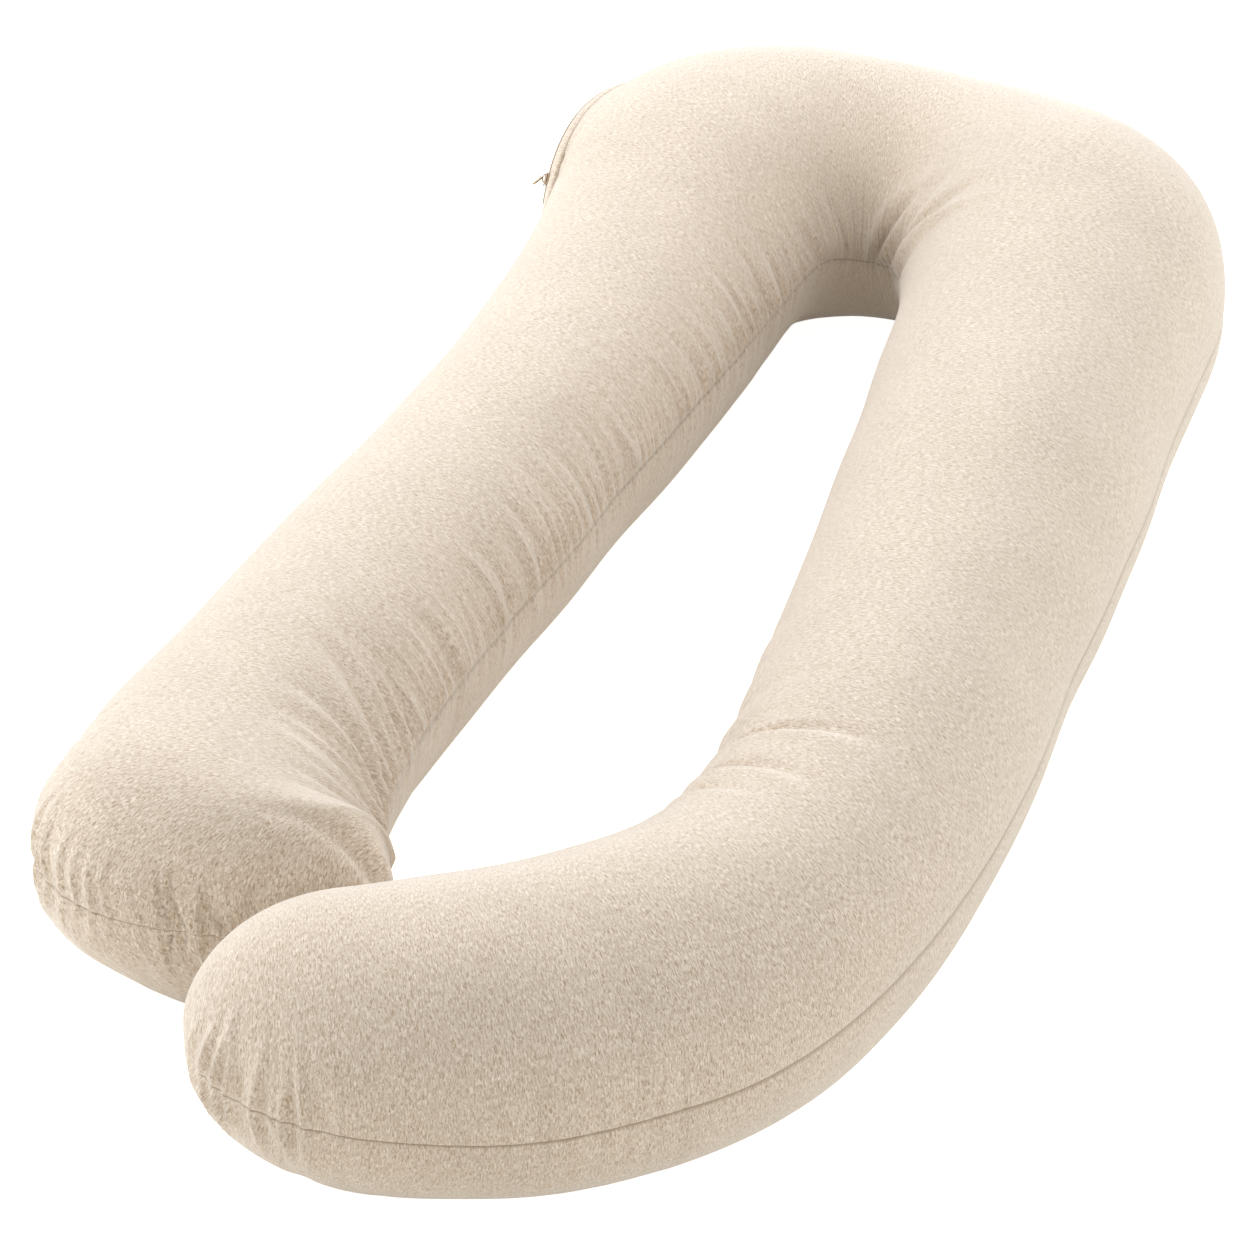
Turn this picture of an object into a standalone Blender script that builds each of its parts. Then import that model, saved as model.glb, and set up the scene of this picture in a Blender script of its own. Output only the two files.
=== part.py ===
"""Full-body pregnancy pillow: one stuffed tube bent into a long closed U, lying flat.

The tube is a loft of crowned sections with a flat base. A seam runs round its widest line, above and
below which the cover gathers into puckers. A short zip end shows at the far left corner.
"""

from typing import NamedTuple

import bpy
import numpy as np
from mathutils import Matrix, Vector


class Section(NamedTuple):
    """One upright cut through the tube, in metres, from its inner seam to its outer seam."""

    inner_x: float
    inner_y: float
    outer_x: float
    outer_y: float
    crown: float  # height of the top
    seam: float  # height of the seam
    belly: float  # fullness under the seam: 2 is round, more is squarer


# From the left toe up the left arm, over the crossbar, and down the right arm to the right toe.
SECTIONS = (
    Section(-0.020, -0.331, -0.002, -0.416, 0.150, 0.090, 2.0),
    Section(-0.031, -0.328, -0.062, -0.426, 0.163, 0.090, 1.6),
    Section(-0.037, -0.326, -0.130, -0.441, 0.173, 0.090, 1.5),
    Section(-0.042, -0.321, -0.208, -0.440, 0.179, 0.090, 1.7),
    Section(-0.048, -0.309, -0.268, -0.400, 0.183, 0.091, 2.2),
    Section(-0.058, -0.282, -0.286, -0.330, 0.181, 0.093, 2.3),
    Section(-0.073, -0.190, -0.280, -0.215, 0.178, 0.095, 2.4),
    Section(-0.068, -0.040, -0.268, -0.045, 0.178, 0.097, 2.2),
    Section(-0.058, 0.100, -0.256, 0.110, 0.177, 0.098, 2.1),
    Section(-0.048, 0.240, -0.247, 0.265, 0.178, 0.100, 2.1),
    Section(-0.038, 0.380, -0.250, 0.420, 0.185, 0.100, 2.1),
    Section(-0.033, 0.480, -0.264, 0.545, 0.200, 0.103, 2.1),
    Section(-0.025, 0.535, -0.277, 0.647, 0.213, 0.110, 1.9),
    Section(-0.014, 0.563, -0.225, 0.756, 0.217, 0.108, 1.8),
    Section(0.000, 0.578, -0.110, 0.818, 0.210, 0.102, 1.8),
    Section(0.016, 0.582, 0.020, 0.824, 0.203, 0.100, 1.7),
    Section(0.032, 0.573, 0.140, 0.792, 0.211, 0.100, 1.8),
    Section(0.044, 0.552, 0.240, 0.735, 0.223, 0.100, 1.9),
    Section(0.055, 0.520, 0.297, 0.637, 0.224, 0.100, 2.1),
    Section(0.067, 0.465, 0.315, 0.512, 0.217, 0.100, 2.1),
    Section(0.080, 0.370, 0.322, 0.385, 0.210, 0.100, 2.1),
    Section(0.096, 0.240, 0.331, 0.240, 0.205, 0.098, 2.1),
    Section(0.112, 0.100, 0.336, 0.095, 0.195, 0.096, 2.1),
    Section(0.126, -0.040, 0.343, -0.055, 0.190, 0.094, 2.1),
    Section(0.134, -0.150, 0.343, -0.185, 0.185, 0.092, 2.2),
    Section(0.127, -0.235, 0.325, -0.320, 0.185, 0.090, 2.4),
    Section(0.098, -0.300, 0.285, -0.430, 0.190, 0.088, 2.3),
    Section(0.055, -0.350, 0.215, -0.518, 0.193, 0.087, 2.1),
    Section(0.002, -0.391, 0.130, -0.574, 0.193, 0.087, 1.9),
    Section(-0.050, -0.420, 0.035, -0.597, 0.187, 0.087, 1.8),
    Section(-0.117, -0.430, -0.077, -0.612, 0.182, 0.087, 1.8),
)
LEFT_TOE_LENGTH = 0.060  # over which each rounded end closes
RIGHT_TOE_LENGTH = 0.115
SINK = 0.010  # how far the weight presses the round underside flat
SEAM_CLIMB = np.radians(32)  # how far up the outer seam climbs at the far left corner
CLIMB_FIRST, CLIMB_LAST = 10.4, 14.15  # where it does, counted along SECTIONS
ZIP_RISE = 0.040  # share of the section by which the cover stands up along the zip
ZIP_RISE_ANGLE = np.radians(5.5)
SEAM_DRAW = 0.0015  # depth of the line that the seam draws in
SEAM_LIP_ANGLE = np.radians(2.5)
QUARTER_STEPS = 7  # faces from the seam to the top or bottom line
RING_STEP = 0.031  # largest distance between plain rings
RING_MERGE = 0.0045  # rings closer than this become one
TOE_RINGS = 5  # rings that round each toe


class Gather(NamedTuple):
    """A run of puckers across the seam; first and last count along SECTIONS from 0."""

    first: float
    last: float
    puckers: int
    inner: float  # depth on the side that faces the gap between the arms
    outer: float  # depth on the side that faces out
    above: float  # reach over the seam
    below: float  # reach under it


GATHERS = (
    Gather(0.6, 5.2, 13, 0.000, 0.006, 0.070, 0.040),  # left toe
    Gather(2.0, 5.6, 5, 0.010, 0.000, 0.120, 0.060),  # inner corner behind the left toe
    Gather(5.6, 12.4, 30, 0.007, 0.000, 0.090, 0.050),  # inner side of the left arm
    Gather(13.2, 17.2, 6, 0.011, 0.000, 0.110, 0.070),  # inside of the far bend
    Gather(23.6, 26.6, 9, 0.006, 0.000, 0.070, 0.035),  # inside of the right arm's bend
    Gather(28.7, 29.9, 9, 0.004, 0.006, 0.075, 0.045),  # right toe
)
PUCKER_RIDGE = 2 / np.pi  # share of a pucker's depth that lies under the plain surface
PUCKER_UNEVEN = 0.3  # how much pitch and depth vary from pucker to pucker
PUCKER_BEAT = 2.4  # radians from one pucker's variation to the next
SEAM_HOLD = 0.010  # distance over which the seam holds the puckers back
HELD_DEPTH = 0.4  # share of a pucker's depth that is left on the seam itself

# The zip end at the far left corner, counted along SECTIONS.
ZIP_FIRST, ZIP_LAST = 10.95, 12.6
ZIP_STEPS = 12
ZIP_TAPE_THICKNESS = 0.0014
ZIP_SLIDER_AT = 11.18
ZIP_SLIDER_SIZE = (0.013, 0.008, 0.0045)  # along the seam, up, out
ZIP_PULL_SIZE = (0.011, 0.005, 0.0018)
ZIP_PULL_DROOP = np.radians(35)
ZIP_PULL_SWING = np.radians(-40)
ZIP_TANGENT_STEP = 0.05  # of a section, over which the seam's direction is read
SLIDER_BEVEL = 0.0012
PULL_BEVEL = 0.0006
BEVEL_SEGMENTS = 2
CLEARANCE = 0.0004  # between pieces that touch

NAMES = {"pillow": "pillow", "tape": "zip_tape", "slider": "zip_slider", "pull": "zip_pull"}


class Finish(NamedTuple):
    """A material's name, linear colour, roughness and metallic share."""

    name: str
    colour: tuple
    roughness: float
    metallic: float


COVER = Finish("cover_jersey", (0.78, 0.69, 0.60), 0.9, 0.0)
TAPE = Finish("zip_tape_polyester", (0.70, 0.60, 0.49), 0.8, 0.0)
SLIDER = Finish("zip_slider_enamel", (0.55, 0.45, 0.35), 0.45, 0.3)


def smooth_curve(knots, values, at):
    """Reads, at each place, the natural cubic spline that passes through values at knots."""
    step = np.diff(knots)
    count = len(knots)
    system = np.eye(count)
    slopes = np.diff(values, axis=0) / step[:, None]
    change = np.zeros_like(values)
    for i in range(1, count - 1):
        system[i, i - 1 : i + 2] = step[i - 1], 2 * (step[i - 1] + step[i]), step[i]
        change[i] = 6 * (slopes[i] - slopes[i - 1])
    bend = np.linalg.solve(system, change)
    i = np.clip(np.searchsorted(knots, at, side="right") - 1, 0, count - 2)
    after = ((at - knots[i]) / step[i])[:, None]
    before = 1 - after
    sag = (before**3 - before) * bend[i] + (after**3 - after) * bend[i + 1]
    return before * values[i] + after * values[i + 1] + step[i][:, None] ** 2 / 6 * sag


def section_knots():
    """Distance of each section along the tube's middle line, from the left toe."""
    rows = np.array(SECTIONS)
    middle = (rows[:, 0:2] + rows[:, 2:4]) / 2
    gaps = np.linalg.norm(np.diff(middle, axis=0), axis=1)
    return np.concatenate([[0], np.cumsum(gaps)])


def along(place):
    """Distance along the tube of a place that is counted along SECTIONS."""
    return np.interp(place, np.arange(len(SECTIONS)), section_knots())


def uneven(index):
    """A steady variation from pucker to pucker, between -1 and 1."""
    return np.sin(PUCKER_BEAT * np.asarray(index, float))


def pucker_valleys(gather):
    """Distances along the tube of a gather's valleys, unevenly apart."""
    pitches = 1 + PUCKER_UNEVEN * uneven(np.arange(gather.puckers))
    share = np.concatenate([[0], np.cumsum(pitches)]) / pitches.sum()
    first, last = along((gather.first, gather.last))
    return first + share * (last - first)


def toe_close(distance, length):
    """How far the sections have opened at each distance from a toe's tip, from 0 to 1."""
    left = np.clip(1 - distance / LEFT_TOE_LENGTH, 0, 1)
    right = np.clip(1 - (length - distance) / RIGHT_TOE_LENGTH, 0, 1)
    return np.sqrt((1 - left**2) * (1 - right**2))


def ring_places():
    """Distances of the rings along the tube: dense in the gathers and toes, wide elsewhere."""
    length = section_knots()[-1]
    toe = 1 - np.cos(np.linspace(0, np.pi / 2, TOE_RINGS + 2))[1:]
    places = [LEFT_TOE_LENGTH * toe, length - RIGHT_TOE_LENGTH * toe]
    for gather in GATHERS:
        valleys = pucker_valleys(gather)
        places += [valleys, (valleys[1:] + valleys[:-1]) / 2]
    places.append(np.linspace(*along((ZIP_FIRST, ZIP_LAST)), ZIP_STEPS + 1))
    wanted = np.sort(np.concatenate(places))
    rings = [wanted[0]]
    for place in wanted[1:]:
        gap = place - rings[-1]
        if gap < RING_MERGE:
            continue
        extra = int(np.ceil(gap / RING_STEP))
        rings += list(rings[-1] + gap * np.arange(1, extra + 1) / extra)
    return np.array(rings)


def ring_angles():
    """Angles of a ring's points: 0 is the inner seam, 90 degrees the top, 180 the outer seam."""
    quarter = np.pi / 2 * np.arange(1, QUARTER_STEPS) / QUARTER_STEPS
    rise = np.concatenate([[0, SEAM_LIP_ANGLE], quarter, [np.pi / 2]])
    half = np.concatenate([rise, np.pi - rise[-2::-1]])
    return np.concatenate([half, 2 * np.pi - half[-2:0:-1]])


def seam_climb(places):
    """Angle by which the outer seam climbs at each place, where the cover has turned on its filling."""
    first, last = along((CLIMB_FIRST, CLIMB_LAST))
    share = np.clip((places - first) / (last - first), 0, 1)
    return SEAM_CLIMB * np.sin(np.pi * share) ** 2


def turned_angles(places, angles):
    """The angles of every ring's points, moved with the outer seam: angles[ring, point]."""
    climb = seam_climb(places)[:, None]
    angles = np.asarray(angles)[None]
    above = np.clip(2 * angles / np.pi - 1, 0, 1)
    below = np.clip(3 - 2 * angles / np.pi, 0, 1)
    return angles - climb * np.minimum(above, below)


def zip_rise(places, angles):
    """Share by which the cover stands up along the zip, fading to both sides of the seam."""
    first, last = along((ZIP_FIRST, ZIP_LAST))
    share = np.clip((places - first) / (last - first), 0, 1)[:, None]
    offset = angles - np.pi + seam_climb(places)[:, None]
    return ZIP_RISE * np.sin(np.pi * share) ** 0.6 * np.exp(-((offset / ZIP_RISE_ANGLE) ** 2))


def tube_points(places, angles):
    """The tube's plain surface: points[ring, point], without puckers."""
    knots = section_knots()
    rows = smooth_curve(knots, np.array(SECTIONS), places)
    centre = (rows[:, 0:2] + rows[:, 2:4]) / 2
    close = toe_close(places, knots[-1])[:, None]
    reach = (rows[:, 0:2] - rows[:, 2:4]) / 2 * close
    crown, seam, belly = (rows[:, i : i + 1] for i in (4, 5, 6))
    across, rise = np.cos(np.atleast_2d(angles)), np.sin(np.atleast_2d(angles))
    power = np.where(rise >= 0, 1.0, 2 / belly)
    stand = 1 + zip_rise(places, angles)
    side = np.sign(across) * np.abs(across) ** power * stand
    lift = np.abs(rise) ** power * stand
    over = seam + close * lift * (crown - seam)
    under = seam - close * lift * (seam + SINK)
    height = np.maximum(np.where(rise >= 0, over, under), 0)
    plan = centre[:, None] + reach[:, None] * side[..., None]
    return np.concatenate([plan, height[..., None]], axis=-1)


def distance_from_seam(points, start):
    """Length along each ring from its point number start to every point, the short way round."""
    turned = np.roll(points, -start, axis=1)
    steps = np.linalg.norm(np.roll(turned, -1, axis=1) - turned, axis=-1)
    forward = np.concatenate([np.zeros((len(points), 1)), np.cumsum(steps, axis=1)[:, :-1]], axis=1)
    girth = steps.sum(axis=1, keepdims=True)
    return np.roll(np.minimum(forward, girth - forward), start, axis=1)


def pucker_relief(gather, places):
    """Height of a gather's puckers at each place: sharp valleys, round ridges, tapered at both ends."""
    valleys = pucker_valleys(gather)
    phase = np.interp(places, valleys, np.arange(len(valleys)))
    inside = (places > valleys[0]) & (places < valleys[-1])
    swell = np.sqrt(np.clip(np.sin(np.pi * phase / (len(valleys) - 1)), 0, 1))
    size = 1 - PUCKER_UNEVEN * (1 + uneven(np.round(phase) + 1)) / 2
    wave = np.abs(np.sin(np.pi * phase)) - PUCKER_RIDGE
    return np.where(inside, wave * size * swell, 0.0)


def pillow_points(places, angles):
    """The whole pillow's surface, with its puckers and the line that the seam draws in."""
    points = tube_points(places, turned_angles(places, angles))
    ahead = np.roll(points, -1, axis=1) - np.roll(points, 1, axis=1)
    travel = np.gradient(points, axis=0)
    normal = np.cross(travel, ahead)
    normal /= np.linalg.norm(normal, axis=-1, keepdims=True)
    relief = np.zeros(points.shape[:2])
    upper = np.sin(angles)[None] >= 0
    seams = (0, len(angles) // 2)
    close = toe_close(places, section_knots()[-1])[:, None]
    for seam, side in zip(seams, ("inner", "outer")):
        away = distance_from_seam(points, seam)
        for gather in GATHERS:
            reach = np.where(upper, gather.above, gather.below)
            fade = np.clip(1 - away / reach, 0, 1)
            hold = HELD_DEPTH + (1 - HELD_DEPTH) * np.clip(away / SEAM_HOLD, 0, 1)
            ridge = getattr(gather, side) * pucker_relief(gather, places)[:, None]
            relief += ridge * fade * hold * close
        relief[:, seam] -= SEAM_DRAW
    flat = points[..., 2] <= 0
    points = points + normal * np.where(flat, 0, relief)[..., None]
    points[..., 2] = np.where(flat, 0, np.maximum(points[..., 2], 0))
    return points


def tip_point(section):
    """The closing point of a toe, on the middle line at the seam's height."""
    middle_x = (section.inner_x + section.outer_x) / 2
    middle_y = (section.inner_y + section.outer_y) / 2
    return middle_x, middle_y, section.seam


def principled(finish):
    """A plain Principled BSDF material."""
    material = bpy.data.materials.new(finish.name)
    material.use_nodes = True
    shader = material.node_tree.nodes["Principled BSDF"]
    shader.inputs["Base Color"].default_value = (*finish.colour, 1.0)
    shader.inputs["Roughness"].default_value = finish.roughness
    shader.inputs["Metallic"].default_value = finish.metallic
    return material


def add_object(collection, name, mesh, material):
    """Links a new object with its material to the pillow's collection."""
    mesh.materials.append(material)
    piece = bpy.data.objects.new(name, mesh)
    collection.objects.link(piece)
    return piece


def loft(name, rings, tips=None):
    """A closed mesh through rings of points, ended by a tip point each or by flat ends."""
    count, around = rings.shape[:2]
    points = rings.reshape(-1, 3)
    index = np.arange(count * around).reshape(count, around)
    beside = np.roll(index, -1, axis=1)
    walls = np.stack([index[:-1], index[1:], beside[1:], beside[:-1]], axis=-1).reshape(-1, 4)
    faces = walls.tolist()
    if tips is None:
        faces += [index[0].tolist(), index[-1, ::-1].tolist()]
    else:
        points = np.concatenate([points, tips])
        first, last = len(points) - 2, len(points) - 1
        faces += [[first, a, b] for a, b in zip(index[0], beside[0])]
        faces += [[last, b, a] for a, b in zip(index[-1], beside[-1])]
    mesh = bpy.data.meshes.new(name)
    mesh.from_pydata(points.tolist(), [], [[int(i) for i in face] for face in faces])
    mesh.validate()
    return mesh


def build_pillow(collection, points, shift):
    """The filled tube, as one solid."""
    tips = np.array([tip_point(SECTIONS[0]), tip_point(SECTIONS[-1])])
    mesh = loft(NAMES["pillow"], points + shift, tips + shift)
    mesh.shade_smooth()
    return add_object(collection, NAMES["pillow"], mesh, principled(COVER))


def zip_frames(places):
    """The seam's upper and lower lip, its direction along the tube and its outward direction."""
    angles = turned_angles(places, np.array([np.pi - SEAM_LIP_ANGLE, np.pi + SEAM_LIP_ANGLE]))
    lips = tube_points(places, angles)
    tangent = np.gradient(lips.mean(axis=1), axis=0)
    tangent /= np.linalg.norm(tangent, axis=1, keepdims=True)
    outward = np.cross(lips[:, 0] - lips[:, 1], tangent)
    outward /= np.linalg.norm(outward, axis=1, keepdims=True)
    inside = tube_points(places, np.array([0.0]))[:, 0]
    outward *= np.sign(((lips[:, 0] - inside) * outward).sum(axis=1))[:, None]
    return lips, tangent, outward


def build_zip_tape(collection, shift):
    """The zip's tape and closed teeth, a strip along the seam from lip to lip."""
    places = np.linspace(*along((ZIP_FIRST, ZIP_LAST)), ZIP_STEPS + 1)
    lips, _, outward = zip_frames(places)
    inner = lips + CLEARANCE * outward[:, None]
    outer = inner + ZIP_TAPE_THICKNESS * outward[:, None]
    rings = np.stack([inner[:, 1], inner[:, 0], outer[:, 0], outer[:, 1]], axis=1)
    mesh = loft(NAMES["tape"], rings + shift)
    return add_object(collection, NAMES["tape"], mesh, principled(TAPE))


def block(name, size, turn, centre, bevel):
    """A bevelled block of the given size, turned and moved into place."""
    bpy.ops.mesh.primitive_cube_add(size=1)
    piece = bpy.context.object
    piece.name = piece.data.name = name
    piece.data.transform(Matrix.Diagonal((*size, 1)))
    for holder in list(piece.users_collection):
        holder.objects.unlink(piece)
    rounding = piece.modifiers.new("rounding", "BEVEL")
    rounding.width = bevel
    rounding.segments = BEVEL_SEGMENTS
    piece.matrix_world = Matrix.Translation(centre) @ turn
    return piece


def build_slider_and_pull(collection, shift):
    """The slider on the tape and the small tab that hangs from it."""
    around = along((ZIP_SLIDER_AT - ZIP_TANGENT_STEP, ZIP_SLIDER_AT, ZIP_SLIDER_AT + ZIP_TANGENT_STEP))
    lips, tangents, outwards = zip_frames(around)
    here, tangent, outward = lips[1].mean(axis=0), tangents[1], outwards[1]
    metal = principled(SLIDER)
    axes = Matrix((tangent, np.cross(outward, tangent), outward)).transposed().to_4x4()
    out = 2 * CLEARANCE + ZIP_TAPE_THICKNESS + ZIP_SLIDER_SIZE[2] / 2
    centre = Vector(here + shift + out * outward)
    slider = block(NAMES["slider"], ZIP_SLIDER_SIZE, axes, centre, SLIDER_BEVEL)
    slider.data.materials.append(metal)
    collection.objects.link(slider)
    face = Vector(outward) * (ZIP_SLIDER_SIZE[2] / 2 + CLEARANCE)
    droop = Matrix.Rotation(ZIP_PULL_SWING, 4, "Z") @ Matrix.Rotation(ZIP_PULL_DROOP, 4, "Y")
    hang = Vector((-ZIP_PULL_SIZE[0] / 2, 0, ZIP_PULL_SIZE[2] / 2))
    turn = axes @ droop
    pull = block(NAMES["pull"], ZIP_PULL_SIZE, turn, centre + face + turn @ hang, PULL_BEVEL)
    pull.data.materials.append(metal)
    collection.objects.link(pull)
    return slider, pull


def main():
    for thing in list(bpy.data.objects):
        bpy.data.objects.remove(thing)
    collection = bpy.data.collections.new("pregnancy_pillow")
    bpy.context.scene.collection.children.link(collection)
    points = pillow_points(ring_places(), ring_angles())
    low, high = points.min(axis=(0, 1)), points.max(axis=(0, 1))
    shift = -np.array([(low[0] + high[0]) / 2, (low[1] + high[1]) / 2, 0.0])
    build_pillow(collection, points, shift)
    build_zip_tape(collection, shift)
    build_slider_and_pull(collection, shift)


main()
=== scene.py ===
"""Looks of the pregnancy pillow: a filled jersey tube bent into a long closed U, its zip, floor and light."""

from typing import NamedTuple

import bmesh
import bpy
import numpy as np
from mathutils import Matrix, Vector


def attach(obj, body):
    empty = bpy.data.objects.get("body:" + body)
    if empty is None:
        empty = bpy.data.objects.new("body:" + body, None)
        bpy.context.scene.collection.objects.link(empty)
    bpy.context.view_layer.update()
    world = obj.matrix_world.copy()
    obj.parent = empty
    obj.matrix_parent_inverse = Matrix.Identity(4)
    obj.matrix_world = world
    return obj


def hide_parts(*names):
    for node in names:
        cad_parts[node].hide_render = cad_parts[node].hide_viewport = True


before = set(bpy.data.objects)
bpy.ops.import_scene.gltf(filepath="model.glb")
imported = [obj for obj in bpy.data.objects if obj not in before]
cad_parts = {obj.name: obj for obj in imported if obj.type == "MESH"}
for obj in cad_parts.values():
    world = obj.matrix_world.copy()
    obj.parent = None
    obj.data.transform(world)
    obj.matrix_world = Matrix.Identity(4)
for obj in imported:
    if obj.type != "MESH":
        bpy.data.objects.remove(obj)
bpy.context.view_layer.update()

bl_info = {
    "name": "Pregnancy pillow",
    "version": (1, 0, 0),
    "blender": (4, 5, 0),
    "location": "3D View > Sidebar > Pillow",
    "description": "Makes a filled jersey pregnancy pillow with its seam, puckers and zip",
    "category": "Object",
}


# The tube's sections, in metres


class Section(NamedTuple):
    """One upright cut through the tube, from its inner seam to its outer seam."""

    inner_x: float
    inner_y: float
    outer_x: float
    outer_y: float
    crown: float  # height of the top
    seam: float  # height of the seam
    belly: float  # fullness under the seam: 2 is round, more is squarer


# From the left toe up the left arm, over the crossbar, and down the right arm to the right toe.
SECTIONS = (
    Section(-0.020, -0.331, -0.002, -0.416, 0.150, 0.090, 2.0),
    Section(-0.031, -0.328, -0.062, -0.426, 0.163, 0.090, 1.6),
    Section(-0.037, -0.326, -0.130, -0.441, 0.173, 0.090, 1.5),
    Section(-0.042, -0.321, -0.208, -0.440, 0.179, 0.090, 1.7),
    Section(-0.048, -0.309, -0.268, -0.400, 0.183, 0.091, 2.2),
    Section(-0.058, -0.282, -0.286, -0.330, 0.181, 0.093, 2.3),
    Section(-0.073, -0.190, -0.280, -0.215, 0.178, 0.095, 2.4),
    Section(-0.068, -0.040, -0.268, -0.045, 0.178, 0.097, 2.2),
    Section(-0.058, 0.100, -0.256, 0.110, 0.177, 0.098, 2.1),
    Section(-0.048, 0.240, -0.247, 0.265, 0.178, 0.100, 2.1),
    Section(-0.038, 0.380, -0.250, 0.420, 0.185, 0.100, 2.1),
    Section(-0.033, 0.480, -0.264, 0.545, 0.200, 0.103, 2.1),
    Section(-0.025, 0.535, -0.277, 0.647, 0.213, 0.110, 1.9),
    Section(-0.014, 0.563, -0.225, 0.756, 0.217, 0.108, 1.8),
    Section(0.000, 0.578, -0.110, 0.818, 0.210, 0.102, 1.8),
    Section(0.016, 0.582, 0.020, 0.824, 0.203, 0.100, 1.7),
    Section(0.032, 0.573, 0.140, 0.792, 0.211, 0.100, 1.8),
    Section(0.044, 0.552, 0.240, 0.735, 0.223, 0.100, 1.9),
    Section(0.055, 0.520, 0.297, 0.637, 0.224, 0.100, 2.1),
    Section(0.067, 0.465, 0.315, 0.512, 0.217, 0.100, 2.1),
    Section(0.080, 0.370, 0.322, 0.385, 0.210, 0.100, 2.1),
    Section(0.096, 0.240, 0.331, 0.240, 0.205, 0.098, 2.1),
    Section(0.112, 0.100, 0.336, 0.095, 0.195, 0.096, 2.1),
    Section(0.126, -0.040, 0.343, -0.055, 0.190, 0.094, 2.1),
    Section(0.134, -0.150, 0.343, -0.185, 0.185, 0.092, 2.2),
    Section(0.127, -0.235, 0.325, -0.320, 0.185, 0.090, 2.4),
    Section(0.098, -0.300, 0.285, -0.430, 0.190, 0.088, 2.3),
    Section(0.055, -0.350, 0.215, -0.518, 0.193, 0.087, 2.1),
    Section(0.002, -0.391, 0.130, -0.574, 0.193, 0.087, 1.9),
    Section(-0.050, -0.420, 0.035, -0.597, 0.187, 0.087, 1.8),
    Section(-0.117, -0.430, -0.077, -0.612, 0.182, 0.087, 1.8),
)
PLAN_SHIFT = np.array([-0.02895, -0.11579, 0.0])  # from the sections' plan to the frame
LEFT_TOE_LENGTH = 0.060  # over which each rounded end closes
RIGHT_TOE_LENGTH = 0.115
SINK = 0.010  # how far the weight presses the round underside flat
SEAM_CLIMB = np.radians(32)  # how far up the outer seam climbs at the far left corner
CLIMB_FIRST, CLIMB_LAST = 10.4, 14.15  # where it does, counted along SECTIONS
ZIP_FIRST, ZIP_LAST = 10.95, 12.6  # where the zip is
ZIP_RISE = 0.040  # share of the section by which the cover stands up along the zip
ZIP_RISE_ANGLE = np.radians(5.5)

# The cover's mesh

RINGS = 990
ROWS_OVER = 33  # from a seam to the top line
ROWS_UNDER = 17  # from a seam to the bottom line
ROW_CROWDING = 1.5  # more than 1 crowds the rows at the seams
PLAIN_STEP = 0.0075  # between rings where the cover is smooth
PROBES = 6000
PROBE_ANGLES = np.radians(np.arange(0, 360, 30))
TOE_PROBES = 0.2  # from each tip, over which the probes lie close together
SIDE_FACING = 0.3  # how squarely a probe faces a seam that rules its step


class Run(NamedTuple):
    """A run of small puckers across the seam; first and last count along SECTIONS from 0."""

    side: str
    first: float
    last: float
    puckers: int
    depth: float
    ridges: float  # share of the puckers that stand up as pinched ridges
    above: float  # reach over the seam
    below: float  # reach under it
    lean: float  # along the tube, for each metre away from the seam
    hold: float  # share of the depth that is left on the seam itself
    seed: int


RUNS = (
    Run("outer", 1.1, 2.6, 12, 0.0032, 0.4, 0.055, 0.050, 0.20, 0.4, 3),  # left toe
    Run("outer", 2.6, 3.0, 3, 0.0016, 0.5, 0.040, 0.030, 0.10, 0.3, 2),
    Run("outer", 4.1, 5.3, 9, 0.0011, 0.4, 0.070, 0.040, 0.10, 0.3, 4),
    Run("inner", 5.9, 9.0, 32, 0.0046, 0.5, 0.085, 0.045, 0.05, 0.1, 5),  # left arm
    Run("inner", 9.0, 11.6, 24, 0.0038, 0.5, 0.075, 0.045, -0.15, 0.1, 7),
    Run("inner", 11.6, 14.3, 16, 0.0034, 0.5, 0.060, 0.060, -0.60, 0.1, 11),  # far bend
    Run("inner", 22.6, 26.4, 13, 0.0020, 0.4, 0.120, 0.035, 0.05, 0.1, 13),  # right arm
    Run("outer", 26.6, 28.9, 14, 0.0013, 0.5, 0.040, 0.030, 0.05, 0.2, 19),  # right toe
)


class Fold(NamedTuple):
    """One larger fold that runs in to the seam; place counts along SECTIONS from 0."""

    side: str
    place: float
    depth: float  # under 0 it stands up as a ridge
    width: float
    above: float  # reach over the seam
    below: float  # reach under it
    lean: float  # along the tube, for each metre away from the seam
    bend: float  # further along the tube at the far end, in metres
    hold: float  # share of the depth that is left on the seam itself
    skew: float = 0.0  # over 0 the cover before the fold stands up, under 0 the cover after it
    rise: float = 0.010  # distance from the seam over which the fold reaches its depth


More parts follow.
